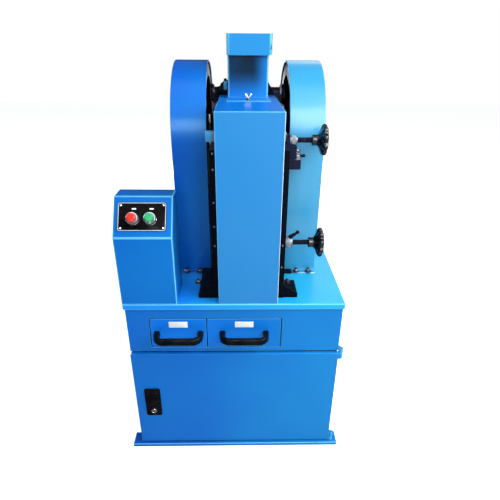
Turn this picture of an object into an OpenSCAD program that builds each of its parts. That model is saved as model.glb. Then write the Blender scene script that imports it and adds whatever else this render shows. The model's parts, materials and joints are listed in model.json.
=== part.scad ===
// Laboratory jaw crusher on a cabinet with two sample drawers.
// Millimetres. X to the right, Y away from the operator, Z up.
// The origin is on the floor, at the middle of the overall length and width.

/* [Cabinet] */
// Width of the cabinet
cabinet_w = 600; // [560:5:680]
// Depth of the cabinet
cabinet_d = 600; // [590:5:680]
// Height of the cabinet walls
cabinet_h = 502; // [440:2:620]
// Thickness of the cabinet sheet
sheet_t = 3; // [2:0.5:4]
// Thickness of the flat bars under the cabinet
bar_h = 12; // [8:1:20]
// Width of each flat bar
bar_d = 49; // [40:1:70]
// How far the bars stand out at each side
bar_side = 28; // [20:1:45]
// How far the bars stand out in front and behind
bar_front = 16; // [12:1:25]

/* [Door] */
// Thickness of the door
door_t = 13; // [9:1:16]
// How far the door stands in front of the drawer panel
door_proud = 8; // [5:1:9]
// Gap around the closed door
door_gap = 5; // [4:0.5:6]
// Diameter of the hinge knuckles
knuckle_d = 12; // [10:0.5:16]
// Diameter of the hinge pins
hinge_pin_d = 6; // [4:0.5:7]
// Length of the knuckles on the door
knuckle_l = 24; // [16:1:34]
// Width of the door lock
lock_w = 47; // [40:1:60]
// Height of the door lock
lock_h = 105; // [90:1:130]
// Thickness of the door lock
lock_t = 5; // [3:0.5:8]
// Distance of the lock's middle from the door's left edge
lock_in = 51; // [40:1:80]
// Height of the lock's middle over the door's lower edge
lock_up = 169; // [120:1:200]

/* [Drawers] */
// Height of the drawer panel
panel_h = 143; // [136:1:170]
// Distance of the left drawer front from the cabinet's left side
drawer_in = 65; // [30:1:100]
// Height of the drawer fronts over the panel's lower edge
drawer_up = 17; // [15:1:25]
// Width of the left drawer front
left_front_w = 156; // [140:1:165]
// Width of the right drawer front
right_front_w = 206; // [180:1:230]
// Height of the drawer fronts
front_h = 93; // [85:1:100]
// Depth of the drawer boxes
drawer_d = 300; // [240:5:420]
// Height of the drawer boxes
drawer_box_h = 76; // [50:1:82]
// Gap around the drawer fronts
front_gap = 3; // [2:0.5:4]
// Thickness of the drawer sheet
drawer_t = 2; // [1.5:0.5:3]
// Length of a handle over its ends
handle_l = 136; // [120:1:138]
// How far a handle stands out
handle_reach = 44; // [38:1:55]
// Height of the handle bar
handle_h = 20; // [14:1:26]
// Thickness of the handle bar
handle_t = 14; // [10:1:18]

/* [Table] */
// Thickness of the table top
table_t = 18; // [12:1:25]
// How far the table top stands over at each side
table_side = 4; // [0:1:20]
// How far the table top stands over in front and behind
table_front = 5; // [0:1:10]

/* [Control box] */
// Width of the control box
control_w = 150; // [140:1:165]
// Depth of the control box
control_d = 121; // [110:1:140]
// Height of the control box
control_h = 285; // [240:1:340]
// Height of its upright front
control_front_h = 195; // [150:1:230]
// Depth of its sloping face
control_slope_d = 61; // [50:1:80]
// Width of the button plate
plate_w = 123; // [112:1:130]
// Height of the button plate
plate_h = 75; // [62:1:84]
// Thickness of the button plate
plate_t = 3; // [2:0.5:4]
// Distance of the button plate from the box's left side
plate_in = 12; // [6:1:16]
// Distance between the two buttons
button_gap = 44; // [40:1:60]
// Diameter of a button cap
button_d = 24; // [20:1:28]
// Travel of a button
button_travel = 4; // [3:0.5:6]
// Diameter of a button bezel
bezel_d = 31; // [30:0.5:36]
// Height of a button bezel
bezel_h = 16; // [10:1:22]

/* [Crusher] */
// How far the crusher stands to the right of the cabinet's middle
crusher_x = 38; // [30:1:50]
// Clear width between the side plates
chamber_w = 160; // [150:2:170]
// Thickness of a side plate
plate_thick = 17; // [12:1:20]
// Depth of the side plates
frame_d = 454; // [430:2:480]
// Height of the front part of the side plates
frame_front_h = 406; // [390:2:420]
// Height of the jaw axle over the table top
axle_h = 500; // [492:2:520]
// Diameter of the jaw axle
axle_d = 34; // [28:1:40]
// Distance of the jaw axle behind the drawer panel
axle_y = 386; // [380:1:400]
// Height of the wheel shaft over the table top
shaft_h = 390; // [380:2:396]
// Distance of the wheel shaft behind the drawer panel
shaft_y = 394; // [390:1:398]
// Diameter of the wheel shaft
shaft_d = 45; // [35:1:55]
// Diameter of a flywheel
wheel_d = 376; // [340:2:400]
// Space between a flywheel and the guard round it
wheel_gap = 8; // [6:0.5:12]
// Width of a flywheel rim
wheel_w = 70; // [50:1:76]
// Diameter of a bearing housing
bearing_d = 104; // [84:2:120]
// Thickness of a bearing housing
bearing_t = 13; // [8:1:13]

/* [Covers] */
// Height of the front cover over the table top
cover_h = 497; // [497:1:512]
// Distance of the cover's face in front of the drawer panel
cover_proud = 3; // [0:1:5]
// Depth of the cover's side folds
cover_side_d = 108; // [80:2:118]
// Thickness of the cover and guard sheet
cover_t = 3; // [2:0.5:4]
// Width of a wheel guard
guard_w = 96; // [92:1:104]
// Space between a side plate and the guard beside it
guard_space = 15.5; // [15:0.5:20]
// Depth of a guard's front flange
guard_flange = 22; // [16:1:28]
// Width of a guard's front flange, from its outer side
guard_flange_w = 66; // [50:1:70]

/* [Hopper] */
// Width of the hopper neck
neck_w = 110; // [96:2:114]
// Depth of the hopper neck
neck_d = 90; // [80:1:92]
// Height of the hopper neck
neck_h = 107; // [90:1:140]
// Distance of the neck behind the drawer panel
neck_y = 271; // [268:1:274]
// Depth of the neck's foot plate in front of the neck
foot_plate_d = 85; // [50:1:120]
// How far the foot plate stands out at each side of the neck
foot_plate_side = 3; // [0:0.5:10]
// Thickness of the foot plate
foot_plate_t = 2; // [1.5:0.5:4]
// Width of the hopper mouth
mouth_w = 121; // [121:1:150]
// Depth of the hopper mouth
mouth_d = 112; // [102:1:120]
// Height of the hopper mouth
mouth_h = 51; // [40:1:80]
// How far the mouth stands to the right of the neck
mouth_x = 3; // [0:0.5:3]

/* [Hand screws] */
// Diameter of a screw spindle
spindle_d = 14; // [10:1:18]
// Free length of the upper spindle between its boss and its knob
upper_free = 38; // [30:1:50]
// Free length of the lower spindle between its boss and its knob
lower_free = 44; // [30:1:50]
// Diameter of a knob
knob_d = 80; // [70:1:84]
// Length of a knob
knob_l = 39; // [36:1:50]
// Distance of the upper screw behind the drawer panel
upper_y = 140; // [134:1:144]
// Height of the upper screw over the table top
upper_h = 409; // [405:1:415]
// Height of the cross bar's square section
cross_bar = 24; // [20:1:30]
// Length of the upper screw's boss
upper_boss_l = 19; // [14:1:24]
// Diameter of the upper screw's boss
upper_boss_d = 24; // [22:1:24]
// Distance of the lower screw behind the drawer panel
lower_y = 70; // [66:1:90]
// Height of the lower screw over the table top
lower_h = 151; // [130:1:200]
// Length of the lower screw's boss
lower_boss_l = 21; // [16:1:28]
// Diameter of the lower screw's boss
lower_boss_d = 33; // [26:1:40]

/* [Hidden] */
$fn = 64;

// Running clearance of a shaft in its hole, on the radius
run_fit = 0.05;
// Small gap between a runner and what it carries
runner_gap = 1;

// The drawer panel's front face: depths below are measured back from here
overall_d = handle_reach + cabinet_d + bar_front;
panel_y = handle_reach - overall_d / 2;
back_y = panel_y + cabinet_d;

// Door
table_z = bar_h + cabinet_h;
panel_z = table_z - panel_h;
door_z = bar_h + door_gap;
door_h = panel_z - door_gap - door_z;
door_front_y = panel_y - door_proud;
wall_y = door_front_y + door_t + door_gap + 1;
hinge_gap = 1.5;
hinge_x = cabinet_w / 2 + hinge_gap + knuckle_d / 2;
hinge_y = door_front_y + door_t / 2;
pivot_h = 10;
knuckle_gap = 1;
lock_r = 6;
lock_rim = 4;

// Drawers
drawer_x = drawer_in - cabinet_w / 2;
drawer_z = panel_z + drawer_up;
right_x = drawer_x + left_front_w + front_gap;
box_side = 6;
box_z = drawer_z + 4;
runner_w = 8;
front_t = sheet_t;
handle_drop = 3.5;
handle_z = drawer_z + front_h / 2 - handle_drop;
handle_foot = 21;
handle_foot_t = 8;
handle_bend = 26;

// Table and what stands on it
top_z = table_z + table_t;
table_w = cabinet_w + 2 * table_side;

// Control box
control_x = -table_w / 2;
control_y = panel_y - table_front;
slope_rise = control_h - control_front_h;
slope_angle = atan2(slope_rise, control_slope_d);
plate_x = control_x + plate_in + plate_w / 2;
plate_r = 8;
cap_out = 12;
cap_in = 4;
cap_fit = 0.5;
stem_d = 18;
stem_fit = 2;
button_drop = 7;
stem_in = 17;
stem_room = 13;
bore_l = stem_in + button_travel + stem_room;

// Crusher frame
plate_x1 = chamber_w / 2;
plate_x2 = plate_x1 + plate_thick;
frame_in = 28;
top_fore = 56;
top_aft = 54;
frame_y = panel_y + frame_in;
frame_z1 = top_z + frame_front_h;
axle_z = top_z + axle_h;
shaft_z = top_z + shaft_h;
frame_back_y = frame_y + frame_d;
top_front_y = panel_y + axle_y - top_fore;
top_back_y = panel_y + axle_y + top_aft;
back_drop = 72;
lean_t = 12;
shaft_gap = 8;
nut_t = 8;
nut_d = 50;
washer_d = 44;
washer_t = 4;

// Feet of the crusher
foot_w = 40;
foot_t = 10;
foot_gap = 3;
short_foot_y = 2;
short_foot_l = 84;
strip_d = 22;
strip_t = 6;
rib_t = 12;
rib_h = 30;
rib_tip = 3;

// Jaw head and jaws
head_top = 40;
head_low = 32;
head_back = 41;
shoulder_w = 22;
shoulder_h = 36;
head_gap = 2;
jaw_h = 148;
jaw_t = 12;
jaw_gap = 8;

// Guards and wheels
guard_r = wheel_d / 2 + wheel_gap + cover_t;
guard_y = panel_y + shaft_y - guard_r;
guard_x1 = plate_x2 + guard_space;
guard_x2 = guard_x1 + guard_w;
wheel_in = 3.5;
wheel_x1 = guard_x1 + wheel_in;
wheel_x2 = wheel_x1 + wheel_w;
rim_t = 30;
web_t = 18;
hub_d = 96;
shaft_end = 8;

// Cover and hopper
cover_gap = 4;
cover_y = panel_y - cover_proud;
cover_top = top_z + cover_h;
throat_y = panel_y + neck_y;
neck_back = 3;
cover_back_y = throat_y + neck_d + neck_back;
mouth_y = throat_y - (mouth_d - neck_d) / 2;
mouth_z = cover_top + neck_h;
mouth_r = 8;
neck_r = 4;
wing_in = 20;

// Hand screws
cross_bar_z = frame_z1;
cross_bar_reach = 13;
upper_z = top_z + upper_h;
upper_base = plate_x2;
bracket_t = 10;
upper_x = plate_x2 + bracket_t + upper_boss_l;
lower_z = top_z + lower_h;
lower_x = plate_x2 + lower_boss_l;
lower_base = plate_x2 - 11;
screw_travel = 6;
bracket_w = 26;
bracket_rim = 2;
block_w = 28;
block_gap = 1;
ledge_w = 40;
ledge_d = 36;
ledge_h = 25;
ledge_drop = 48;

// A rectangle with four round corners, centred on its own middle
module rounded_rect(w, h, r) {
    square([w - 2 * r, h], center = true);
    square([w, h - 2 * r], center = true);
    for (sx = [-1, 1], sy = [-1, 1])
        translate([sx * (w / 2 - r), sy * (h / 2 - r)])
            circle(r = r);
}

// A bar along X between two places
module bar_x(x1, x2, d) {
    translate([x1, 0, 0])
        rotate([0, 90, 0])
            cylinder(d = d, h = x2 - x1);
}

// Puts a shape drawn in the Y and Z plane upright, extruded along X from x1
module upright(x1, w) {
    translate([x1, 0, 0])
        rotate([90, 0, 90])
            linear_extrude(w)
                children();
}

// ---------------------------------------------------------------- cabinet

module foot_bars() {
    color("royalblue")
        for (y = [panel_y - bar_front, back_y + bar_front - bar_d])
            translate([-cabinet_w / 2 - bar_side, y, 0])
                cube([cabinet_w + 2 * bar_side, bar_d, bar_h]);
}

module side_wall(x) {
    color("dodgerblue")
        translate([x, wall_y, bar_h])
            cube([sheet_t, back_y - wall_y, cabinet_h]);
}

module left_wall() {
    side_wall(-cabinet_w / 2);
}

module right_wall() {
    side_wall(cabinet_w / 2 - sheet_t);
}

module back_wall() {
    color("dodgerblue")
        translate([-cabinet_w / 2 + sheet_t, back_y - sheet_t, bar_h])
            cube([cabinet_w - 2 * sheet_t, sheet_t, cabinet_h]);
}

module cabinet_floor() {
    color("royalblue")
        translate([-cabinet_w / 2 + sheet_t, wall_y, bar_h])
            cube([cabinet_w - 2 * sheet_t, back_y - sheet_t - wall_y, sheet_t]);
}

// Folded front above the door: one wide opening takes both drawer fronts
module drawer_panel() {
    color("dodgerblue")
        translate([0, panel_y, panel_z])
            difference() {
                translate([-cabinet_w / 2, 0, 0])
                    cube([cabinet_w, wall_y - panel_y, table_z - panel_z]);
                translate([-cabinet_w / 2 + sheet_t, sheet_t, -1])
                    cube([cabinet_w - 2 * sheet_t, wall_y - panel_y, table_z - panel_z + 2]);
                translate([drawer_x - front_gap, -1, drawer_z - front_gap - panel_z])
                    cube([
                        left_front_w + right_front_w + 3 * front_gap,
                        sheet_t + 2,
                        front_h + 2 * front_gap
                    ]);
            }
}

// Plate under the drawers, with two runners for each drawer
module drawer_deck() {
    color("royalblue") {
        translate([-cabinet_w / 2 + sheet_t, wall_y, panel_z])
            cube([cabinet_w - 2 * sheet_t, back_y - sheet_t - wall_y, sheet_t]);
        for (x = [
            drawer_x + box_side,
            drawer_x + left_front_w - box_side - runner_w,
            right_x + box_side,
            right_x + right_front_w - box_side - runner_w
        ])
            translate([x, wall_y, panel_z + sheet_t])
                cube([runner_w, drawer_d, box_z - runner_gap - panel_z - sheet_t]);
    }
}

module table_top() {
    color("deepskyblue")
        translate([-table_w / 2, panel_y - table_front, table_z])
            cube([table_w, cabinet_d + 2 * table_front, table_t]);
}

// ---------------------------------------------------------------- door

// Upper lug on the cabinet and lower lug on the foot bar, each with its pin
module hinge_pivots() {
    color("dodgerblue") {
        translate([hinge_x, hinge_y, panel_z]) {
            cylinder(d = knuckle_d, h = pivot_h);
            translate([cabinet_w / 2 - hinge_x, 0, 0])
                cube([hinge_x - cabinet_w / 2, wall_y - hinge_y, pivot_h]);
            translate([0, 0, -knuckle_gap - knuckle_l])
                cylinder(d = hinge_pin_d, h = knuckle_gap + knuckle_l);
        }
        translate([hinge_x, hinge_y, bar_h]) {
            cylinder(d = knuckle_d, h = pivot_h);
            cylinder(d = hinge_pin_d, h = pivot_h + knuckle_gap + knuckle_l);
        }
    }
}

module cabinet_door() {
    color("dodgerblue")
        translate([-cabinet_w / 2, door_front_y, door_z])
            cube([cabinet_w, door_t, door_h]);
}

module door_knuckles() {
    color("dodgerblue")
        for (z = [bar_h + pivot_h + knuckle_gap, panel_z - knuckle_gap - knuckle_l])
            translate([hinge_x, hinge_y, z])
                difference() {
                    union() {
                        cylinder(d = knuckle_d, h = knuckle_l);
                        translate([cabinet_w / 2 - hinge_x, -door_t / 2, 0])
                            cube([
                                hinge_x - cabinet_w / 2,
                                door_t,
                                min(knuckle_l, door_z + door_h - z)
                            ]);
                    }
                    translate([0, 0, -1])
                        cylinder(r = hinge_pin_d / 2 + run_fit, h = knuckle_l + 2);
                }
}

module door_lock() {
    color("black")
        translate([lock_in - cabinet_w / 2, door_front_y, door_z + lock_up])
            rotate([90, 0, 0]) {
                linear_extrude(lock_t)
                    rounded_rect(lock_w, lock_h, lock_r);
                translate([0, lock_h / 5, lock_t])
                    linear_extrude(lock_rim)
                        rounded_rect(lock_w - 2 * lock_rim, lock_h / 2, lock_r);
            }
}

// ---------------------------------------------------------------- drawers

module drawer(x, w) {
    color("dodgerblue")
        translate([x, panel_y, drawer_z]) {
            cube([w, front_t, front_h]);
            translate([box_side, front_t, box_z - drawer_z])
                difference() {
                    cube([w - 2 * box_side, drawer_d, drawer_box_h]);
                    translate([drawer_t, drawer_t, drawer_t])
                        cube([w - 2 * box_side - 2 * drawer_t, drawer_d - 2 * drawer_t, drawer_box_h]);
                }
        }
}

module left_drawer() {
    drawer(drawer_x, left_front_w);
}

module right_drawer() {
    drawer(right_x, right_front_w);
}

// Bridge handle drawn from above: two feet, two bends and a straight bar
module handle(x) {
    inner_bend = handle_bend - handle_t;
    depth = handle_reach + handle_bend;
    color("black")
        translate([x, panel_y, handle_z - handle_h / 2])
            linear_extrude(handle_h) {
                difference() {
                    translate([0, (handle_bend - handle_reach) / 2])
                        rounded_rect(handle_l, depth, handle_bend);
                    translate([0, (handle_bend - handle_reach + handle_t) / 2])
                        rounded_rect(handle_l - 2 * handle_t, depth - handle_t, inner_bend);
                    translate([-handle_l, 0])
                        square([2 * handle_l, 2 * handle_bend]);
                }
                for (s = [-1, 1])
                    translate([s * (handle_l - handle_foot) / 2, -handle_foot_t / 2])
                        square([handle_foot, handle_foot_t], center = true);
            }
}

module left_handle() {
    handle(drawer_x + left_front_w / 2);
}

module right_handle() {
    handle(right_x + right_front_w / 2);
}

// ---------------------------------------------------------------- control box

// Places its children on the sloping face, Z standing out from it
module on_slope(x, up) {
    translate([
        x,
        control_y + control_slope_d / 2,
        top_z + control_front_h + slope_rise / 2
    ])
        rotate([slope_angle, 0, 0])
            translate([0, up, 0])
                children();
}

module button_places() {
    for (s = [-1, 1])
        on_slope(plate_x + s * button_gap / 2, -button_drop)
            children();
}

module control_box() {
    color("dodgerblue")
        difference() {
            upright(control_x, control_w)
                polygon([
                    [control_y, top_z],
                    [control_y, top_z + control_front_h],
                    [control_y + control_slope_d, top_z + control_h],
                    [control_y + control_d, top_z + control_h],
                    [control_y + control_d, top_z]
                ]);
            button_places()
                translate([0, 0, -bore_l])
                    cylinder(d = stem_d + 2 * stem_fit, h = bore_l + 1);
        }
}

module button_plate() {
    color("black")
        difference() {
            on_slope(plate_x, 0)
                linear_extrude(plate_t)
                    rounded_rect(plate_w, plate_h, plate_r);
            button_places()
                translate([0, 0, -1])
                    cylinder(d = stem_d + 2 * stem_fit, h = plate_t + 2);
        }
}

module button_bezels() {
    color("silver")
        button_places()
            translate([0, 0, plate_t])
                difference() {
                    cylinder(d = bezel_d, h = bezel_h);
                    translate([0, 0, -1])
                        cylinder(r = button_d / 2 + cap_fit, h = bezel_h + 2);
                }
}

// Button cap on its stem, standing well out of the bezel
module button(x) {
    cap_z = plate_t + bezel_h - cap_in;
    on_slope(x, -button_drop) {
        translate([0, 0, cap_z])
            cylinder(d = button_d, h = cap_in + cap_out);
        translate([0, 0, -stem_in])
            cylinder(d = stem_d, h = stem_in + cap_z);
    }
}

module red_button() {
    color("red")
        button(plate_x - button_gap / 2);
}

module green_button() {
    color("green")
        button(plate_x + button_gap / 2);
}

// ---------------------------------------------------------------- crusher frame

// Outline of a side plate, seen along X
module side_outline() {
    difference() {
        polygon([
            [frame_y, top_z],
            [frame_y, frame_z1],
            [panel_y + upper_y + cross_bar, frame_z1],
            [top_front_y, axle_z],
            [top_back_y, axle_z],
            [frame_back_y, axle_z - back_drop],
            [frame_back_y, top_z]
        ]);
        translate([panel_y + axle_y, axle_z])
            circle(r = axle_d / 2 + run_fit);
        translate([panel_y + shaft_y, shaft_z])
            circle(r = shaft_d / 2 + shaft_gap);
    }
}

module side_plate(x) {
    color("dimgray")
        difference() {
            upright(crusher_x + x, plate_thick)
                side_outline();
            screw_bore(lower_base, lower_x, panel_y + lower_y, lower_z);
        }
}

module left_side_plate() {
    side_plate(-plate_x2);
}

module right_side_plate() {
    side_plate(plate_x1);
}

// Upright plate that closes the back between the side plates and leans in at its top
module back_plate() {
    color("dimgray")
        upright(crusher_x - plate_x1, chamber_w)
            polygon([
                [frame_back_y - plate_thick, top_z],
                [frame_back_y, top_z],
                [frame_back_y, axle_z - back_drop],
                [top_back_y, axle_z],
                [top_back_y - lean_t, axle_z],
                [top_back_y - lean_t, axle_z - lean_t],
                [frame_back_y - plate_thick, axle_z - back_drop - lean_t / 2]
            ]);
}

// Foot flanges outside the side plates: a long one at the left, a short and a thin one at
// the right
module crusher_feet() {
    long_foot_l = guard_y - foot_gap - frame_y;
    color("dimgray") {
        foot(-1, 0, long_foot_l);
        foot(1, short_foot_y, short_foot_l);
        translate([crusher_x + plate_x2, frame_y + long_foot_l - strip_d, top_z])
            cube([foot_w, strip_d, strip_t]);
    }
}

// One foot flange of length l with a sloping rib, at side s, from depth y1
module foot(s, y1, l) {
    translate([crusher_x + s * (plate_x2 + foot_w / 2), frame_y + y1, top_z]) {
        translate([-foot_w / 2, 0, 0])
            cube([foot_w, l, foot_t]);
        translate([0, rib_t, foot_t])
            rotate([90, 0, 0])
                linear_extrude(rib_t)
                    polygon([
                        [-s * foot_w / 2, 0],
                        [s * foot_w / 2, 0],
                        [s * foot_w / 2, rib_tip],
                        [-s * foot_w / 2, rib_h]
                    ]);
    }
}

// Fixed axle that carries the jaw, with a washer and a nut at each end
module jaw_axle() {
    color("dimgray")
        translate([crusher_x, panel_y + axle_y, axle_z]) {
            bar_x(-plate_x2 - washer_t - nut_t, plate_x2 + washer_t + nut_t, axle_d);
            for (x = [-plate_x2 - washer_t, plate_x2])
                bar_x(x, x + washer_t, washer_d);
            for (x = [-plate_x2 - washer_t - nut_t, plate_x2 + washer_t])
                translate([x, 0, 0])
                    rotate([0, 90, 0])
                        cylinder(d = nut_d, h = nut_t, $fn = 6);
        }
}

// Casting behind the neck that hangs on the axle, with sloping shoulders
module jaw_head() {
    side = chamber_w / 2 - head_gap;
    front_y = cover_back_y + 1;
    rear_y = panel_y + axle_y + head_back;
    color("dimgray")
        difference() {
            translate([crusher_x, rear_y, axle_z])
                rotate([90, 0, 0])
                    linear_extrude(rear_y - front_y)
                        polygon([
                            [-side, -head_low],
                            [-side, head_top - shoulder_h],
                            [shoulder_w - side, head_top],
                            [side - shoulder_w, head_top],
                            [side, head_top - shoulder_h],
                            [side, -head_low]
                        ]);
            translate([crusher_x, panel_y + axle_y, axle_z])
                bar_x(-plate_x2, plate_x2, axle_d + 2 * run_fit);
        }
}

// The fixed jaw, upright, and the swing jaw, leaning towards it, under the throat
module jaw_plates() {
    jaw_w = chamber_w - 2 * cover_t - 2 * head_gap;
    jaw_top = cover_top - cover_t - 1;
    swing_y = throat_y + neck_d - jaw_t + 1;
    color("silver")
        upright(crusher_x - jaw_w / 2, jaw_w) {
            translate([throat_y - jaw_t + cover_t, jaw_top - jaw_h])
                square([jaw_t, jaw_h]);
            polygon([
                [swing_y, jaw_top],
                [swing_y + jaw_t, jaw_top],
                [throat_y + cover_t + jaw_gap + jaw_t, jaw_top - jaw_h],
                [throat_y + cover_t + jaw_gap, jaw_top - jaw_h]
            ]);
        }
}

// Flanged housing outside each side plate
module bearing_housings() {
    color("dimgray")
        translate([crusher_x, panel_y + shaft_y, shaft_z])
            for (x = [-plate_x2 - bearing_t, plate_x2])
                difference() {
                    bar_x(x, x + bearing_t, bearing_d);
                    bar_x(x - 1, x + bearing_t + 1, shaft_d + 2 * run_fit);
                }
}

// ---------------------------------------------------------------- wheels

module wheel_shaft() {
    color("silver")
        translate([crusher_x, panel_y + shaft_y, shaft_z])
            bar_x(-wheel_x2 - shaft_end, wheel_x2 + shaft_end, shaft_d);
}

// Rim, web and hub turned as one piece, from x1 along X
module flywheel(x1) {
    color("dimgray")
        translate([crusher_x + x1, panel_y + shaft_y, shaft_z])
            rotate([0, 90, 0])
                rotate_extrude()
                    polygon([
                        [shaft_d / 2 + run_fit, 0],
                        [hub_d / 2, 0],
                        [hub_d / 2, (wheel_w - web_t) / 2],
                        [wheel_d / 2 - rim_t, (wheel_w - web_t) / 2],
                        [wheel_d / 2 - rim_t, 0],
                        [wheel_d / 2, 0],
                        [wheel_d / 2, wheel_w],
                        [wheel_d / 2 - rim_t, wheel_w],
                        [wheel_d / 2 - rim_t, (wheel_w + web_t) / 2],
                        [hub_d / 2, (wheel_w + web_t) / 2],
                        [hub_d / 2, wheel_w],
                        [shaft_d / 2 + run_fit, wheel_w]
                    ]);
}

module left_flywheel() {
    flywheel(-wheel_x2);
}

module right_flywheel() {
    flywheel(wheel_x1);
}

// Outline of a guard, seen along X: upright sides down to z and a round top
module guard_outline(r, z) {
    translate([panel_y + shaft_y, shaft_z])
        circle(r = r);
    translate([panel_y + shaft_y - r, z])
        square([2 * r, shaft_z - z]);
}

// Band around the wheel, hollowed from void_x, with a flange at its front foot
module guard(x, void_x, flange_x) {
    color("deepskyblue") {
        difference() {
            upright(crusher_x + x, guard_w)
                guard_outline(guard_r, top_z);
            upright(crusher_x + void_x, guard_w - cover_t + 1)
                guard_outline(guard_r - cover_t, top_z - 1);
        }
        translate([crusher_x + flange_x, guard_y - guard_flange, top_z])
            cube([guard_flange_w, guard_flange + cover_t / 2, cover_t]);
    }
}

module left_guard() {
    guard(-guard_x2, cover_t - guard_x2, -guard_x2);
}

module right_guard() {
    guard(guard_x1, guard_x1 - 1, guard_x2 - guard_flange_w);
}

// ---------------------------------------------------------------- cover and hopper

// Folded sheet: face, two side folds that run back over the cross bar, and a top that
// runs back under the hopper
module front_cover() {
    color("deepskyblue")
        difference() {
            translate([crusher_x - plate_x1, cover_y, top_z])
                cube([chamber_w, cover_back_y - cover_y, cover_h]);
            translate([crusher_x - plate_x1 + cover_t, cover_y + cover_t, top_z - 1])
                cube([
                    chamber_w - 2 * cover_t,
                    cover_back_y - cover_y,
                    cover_h - cover_t + 1
                ]);
            translate([crusher_x - plate_x2, cover_y + cover_side_d, top_z - 1])
                cube([
                    2 * plate_x2,
                    cover_back_y - cover_y,
                    cross_bar_z + cross_bar + cover_gap - top_z + 1
                ]);
            translate([
                crusher_x - neck_w / 2 + cover_t,
                throat_y + cover_t,
                cover_top - cover_t - 1
            ])
                cube([neck_w - 2 * cover_t, neck_d - 2 * cover_t, cover_t + 2]);
        }
}

// Wing screw that clamps the neck's foot plate to the cover
module wing_screw() {
    screw_d = 9;
    washer_h = 2;
    wing_l = 15;
    wing_t = 3;
    wing_w = 4;
    color("silver")
        translate([crusher_x, throat_y - foot_plate_d + wing_in, cover_top + foot_plate_t]) {
            cylinder(d = 2 * screw_d, h = washer_h);
            cylinder(d = screw_d, h = screw_d);
            for (s = [-1, 1])
                translate([0, wing_w / 2, screw_d / 2])
                    rotate([90, s * 35, 0])
                        translate([s > 0 ? 0 : -wing_t, 0, 0])
                            linear_extrude(wing_w)
                                square([wing_t, wing_l]);
        }
}

module hopper_neck() {
    color("dodgerblue")
        translate([crusher_x, throat_y + neck_d / 2, cover_top])
            difference() {
                union() {
                    linear_extrude(neck_h)
                        rounded_rect(neck_w, neck_d, neck_r);
                    translate([-neck_w / 2 - foot_plate_side, -neck_d / 2 - foot_plate_d, 0])
                        cube([
                            neck_w + 2 * foot_plate_side,
                            neck_d + foot_plate_d + neck_back,
                            foot_plate_t
                        ]);
                }
                translate([0, 0, -1])
                    linear_extrude(neck_h + 2)
                        square([neck_w - 2 * cover_t, neck_d - 2 * cover_t], center = true);
            }
}

// Open box around the neck's top, with round corners
module hopper_mouth() {
    color("dodgerblue")
        translate([crusher_x + mouth_x, mouth_y + mouth_d / 2, mouth_z])
            difference() {
                linear_extrude(mouth_h)
                    rounded_rect(mouth_w, mouth_d, mouth_r);
                translate([0, 0, cover_t])
                    linear_extrude(mouth_h)
                        rounded_rect(
                            mouth_w - 2 * cover_t,
                            mouth_d - 2 * cover_t,
                            mouth_r - cover_t
                        );
                translate([-mouth_x, 0, -1])
                    linear_extrude(cover_t + 2)
                        square([neck_w - 2 * cover_t, neck_d - 2 * cover_t], center = true);
            }
}

// ---------------------------------------------------------------- hand screws

// Hole for a spindle from x1 to its boss's end at x2
module screw_bore(x1, x2, y, z) {
    translate([crusher_x, y, z])
        bar_x(x1, x2 + 1, spindle_d + 2 * run_fit);
}

// Square bar over the side plates, standing out at the left
module cross_bar() {
    bar_l = plate_x2 + cross_bar_reach;
    color("lightsteelblue")
        translate([crusher_x - bar_l, panel_y + upper_y - cross_bar / 2, cross_bar_z])
            cube([bar_l + plate_x2, cross_bar, cross_bar]);
}

// Bracket on the right side plate: a cheek that carries the upper screw's boss, a block
// under it and a ledge at its foot
module clamp_bracket() {
    ledge_z = upper_z - ledge_drop;
    cheek_top = upper_z + upper_boss_d / 2 + bracket_rim;
    block_top = upper_z - upper_boss_d / 2 - block_gap;
    color("dimgray")
        difference() {
            translate([crusher_x + plate_x2, panel_y + upper_y, 0]) {
                translate([0, -bracket_w / 2, ledge_z])
                    cube([bracket_t, bracket_w, cheek_top - ledge_z]);
                translate([0, -bracket_w / 2, ledge_z])
                    cube([block_w, bracket_w, block_top - ledge_z]);
                translate([0, -ledge_d / 2, ledge_z - ledge_h])
                    cube([ledge_w, ledge_d, ledge_h]);
            }
            screw_bore(upper_base - 1, upper_x, panel_y + upper_y, upper_z);
        }
}

// Round boss of the upper screw on the bracket's cheek
module upper_boss() {
    color("silver")
        difference() {
            translate([crusher_x, panel_y + upper_y, upper_z])
                bar_x(plate_x2 + bracket_t, upper_x, upper_boss_d);
            screw_bore(upper_base, upper_x, panel_y + upper_y, upper_z);
        }
}

// Round boss of the lower screw on the right side plate
module lower_boss() {
    color("silver")
        difference() {
            translate([crusher_x, panel_y + lower_y, lower_z])
                bar_x(plate_x2, lower_x, lower_boss_d);
            screw_bore(lower_base, lower_x, panel_y + lower_y, lower_z);
        }
}

// Spindle from the bottom of its hole at x1, less its travel, to its knob at x2
module spindle(x1, x2, y, z) {
    color("dimgray")
        translate([crusher_x, y, z])
            bar_x(x1 + screw_travel, x2, spindle_d);
}

// Turned knob: a slim hub that flares into a thick scalloped disc
module knob(x, y, z) {
    scallops = 9;
    scallop_r = 11;
    scallop_depth = 3;
    knob_r = knob_d / 2;
    hub_r = spindle_d * 0.95;
    rim_l = knob_l / 3;
    bevel = 3;
    color("black")
        translate([crusher_x + x, y, z])
            rotate([0, 90, 0])
                difference() {
                    rotate_extrude()
                        polygon([
                            [0, 0],
                            [hub_r, 0],
                            [hub_r, knob_l / 3],
                            [hub_r * 1.4, knob_l / 2],
                            [knob_r - bevel, knob_l - rim_l],
                            [knob_r, knob_l - rim_l + bevel],
                            [knob_r, knob_l - bevel],
                            [knob_r - bevel, knob_l],
                            [0, knob_l]
                        ]);
                    for (i = [0:scallops - 1])
                        rotate([0, 0, i * 360 / scallops])
                            translate([knob_r + scallop_r - scallop_depth, 0, -1])
                                cylinder(r = scallop_r, h = knob_l + 2);
                }
}

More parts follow.
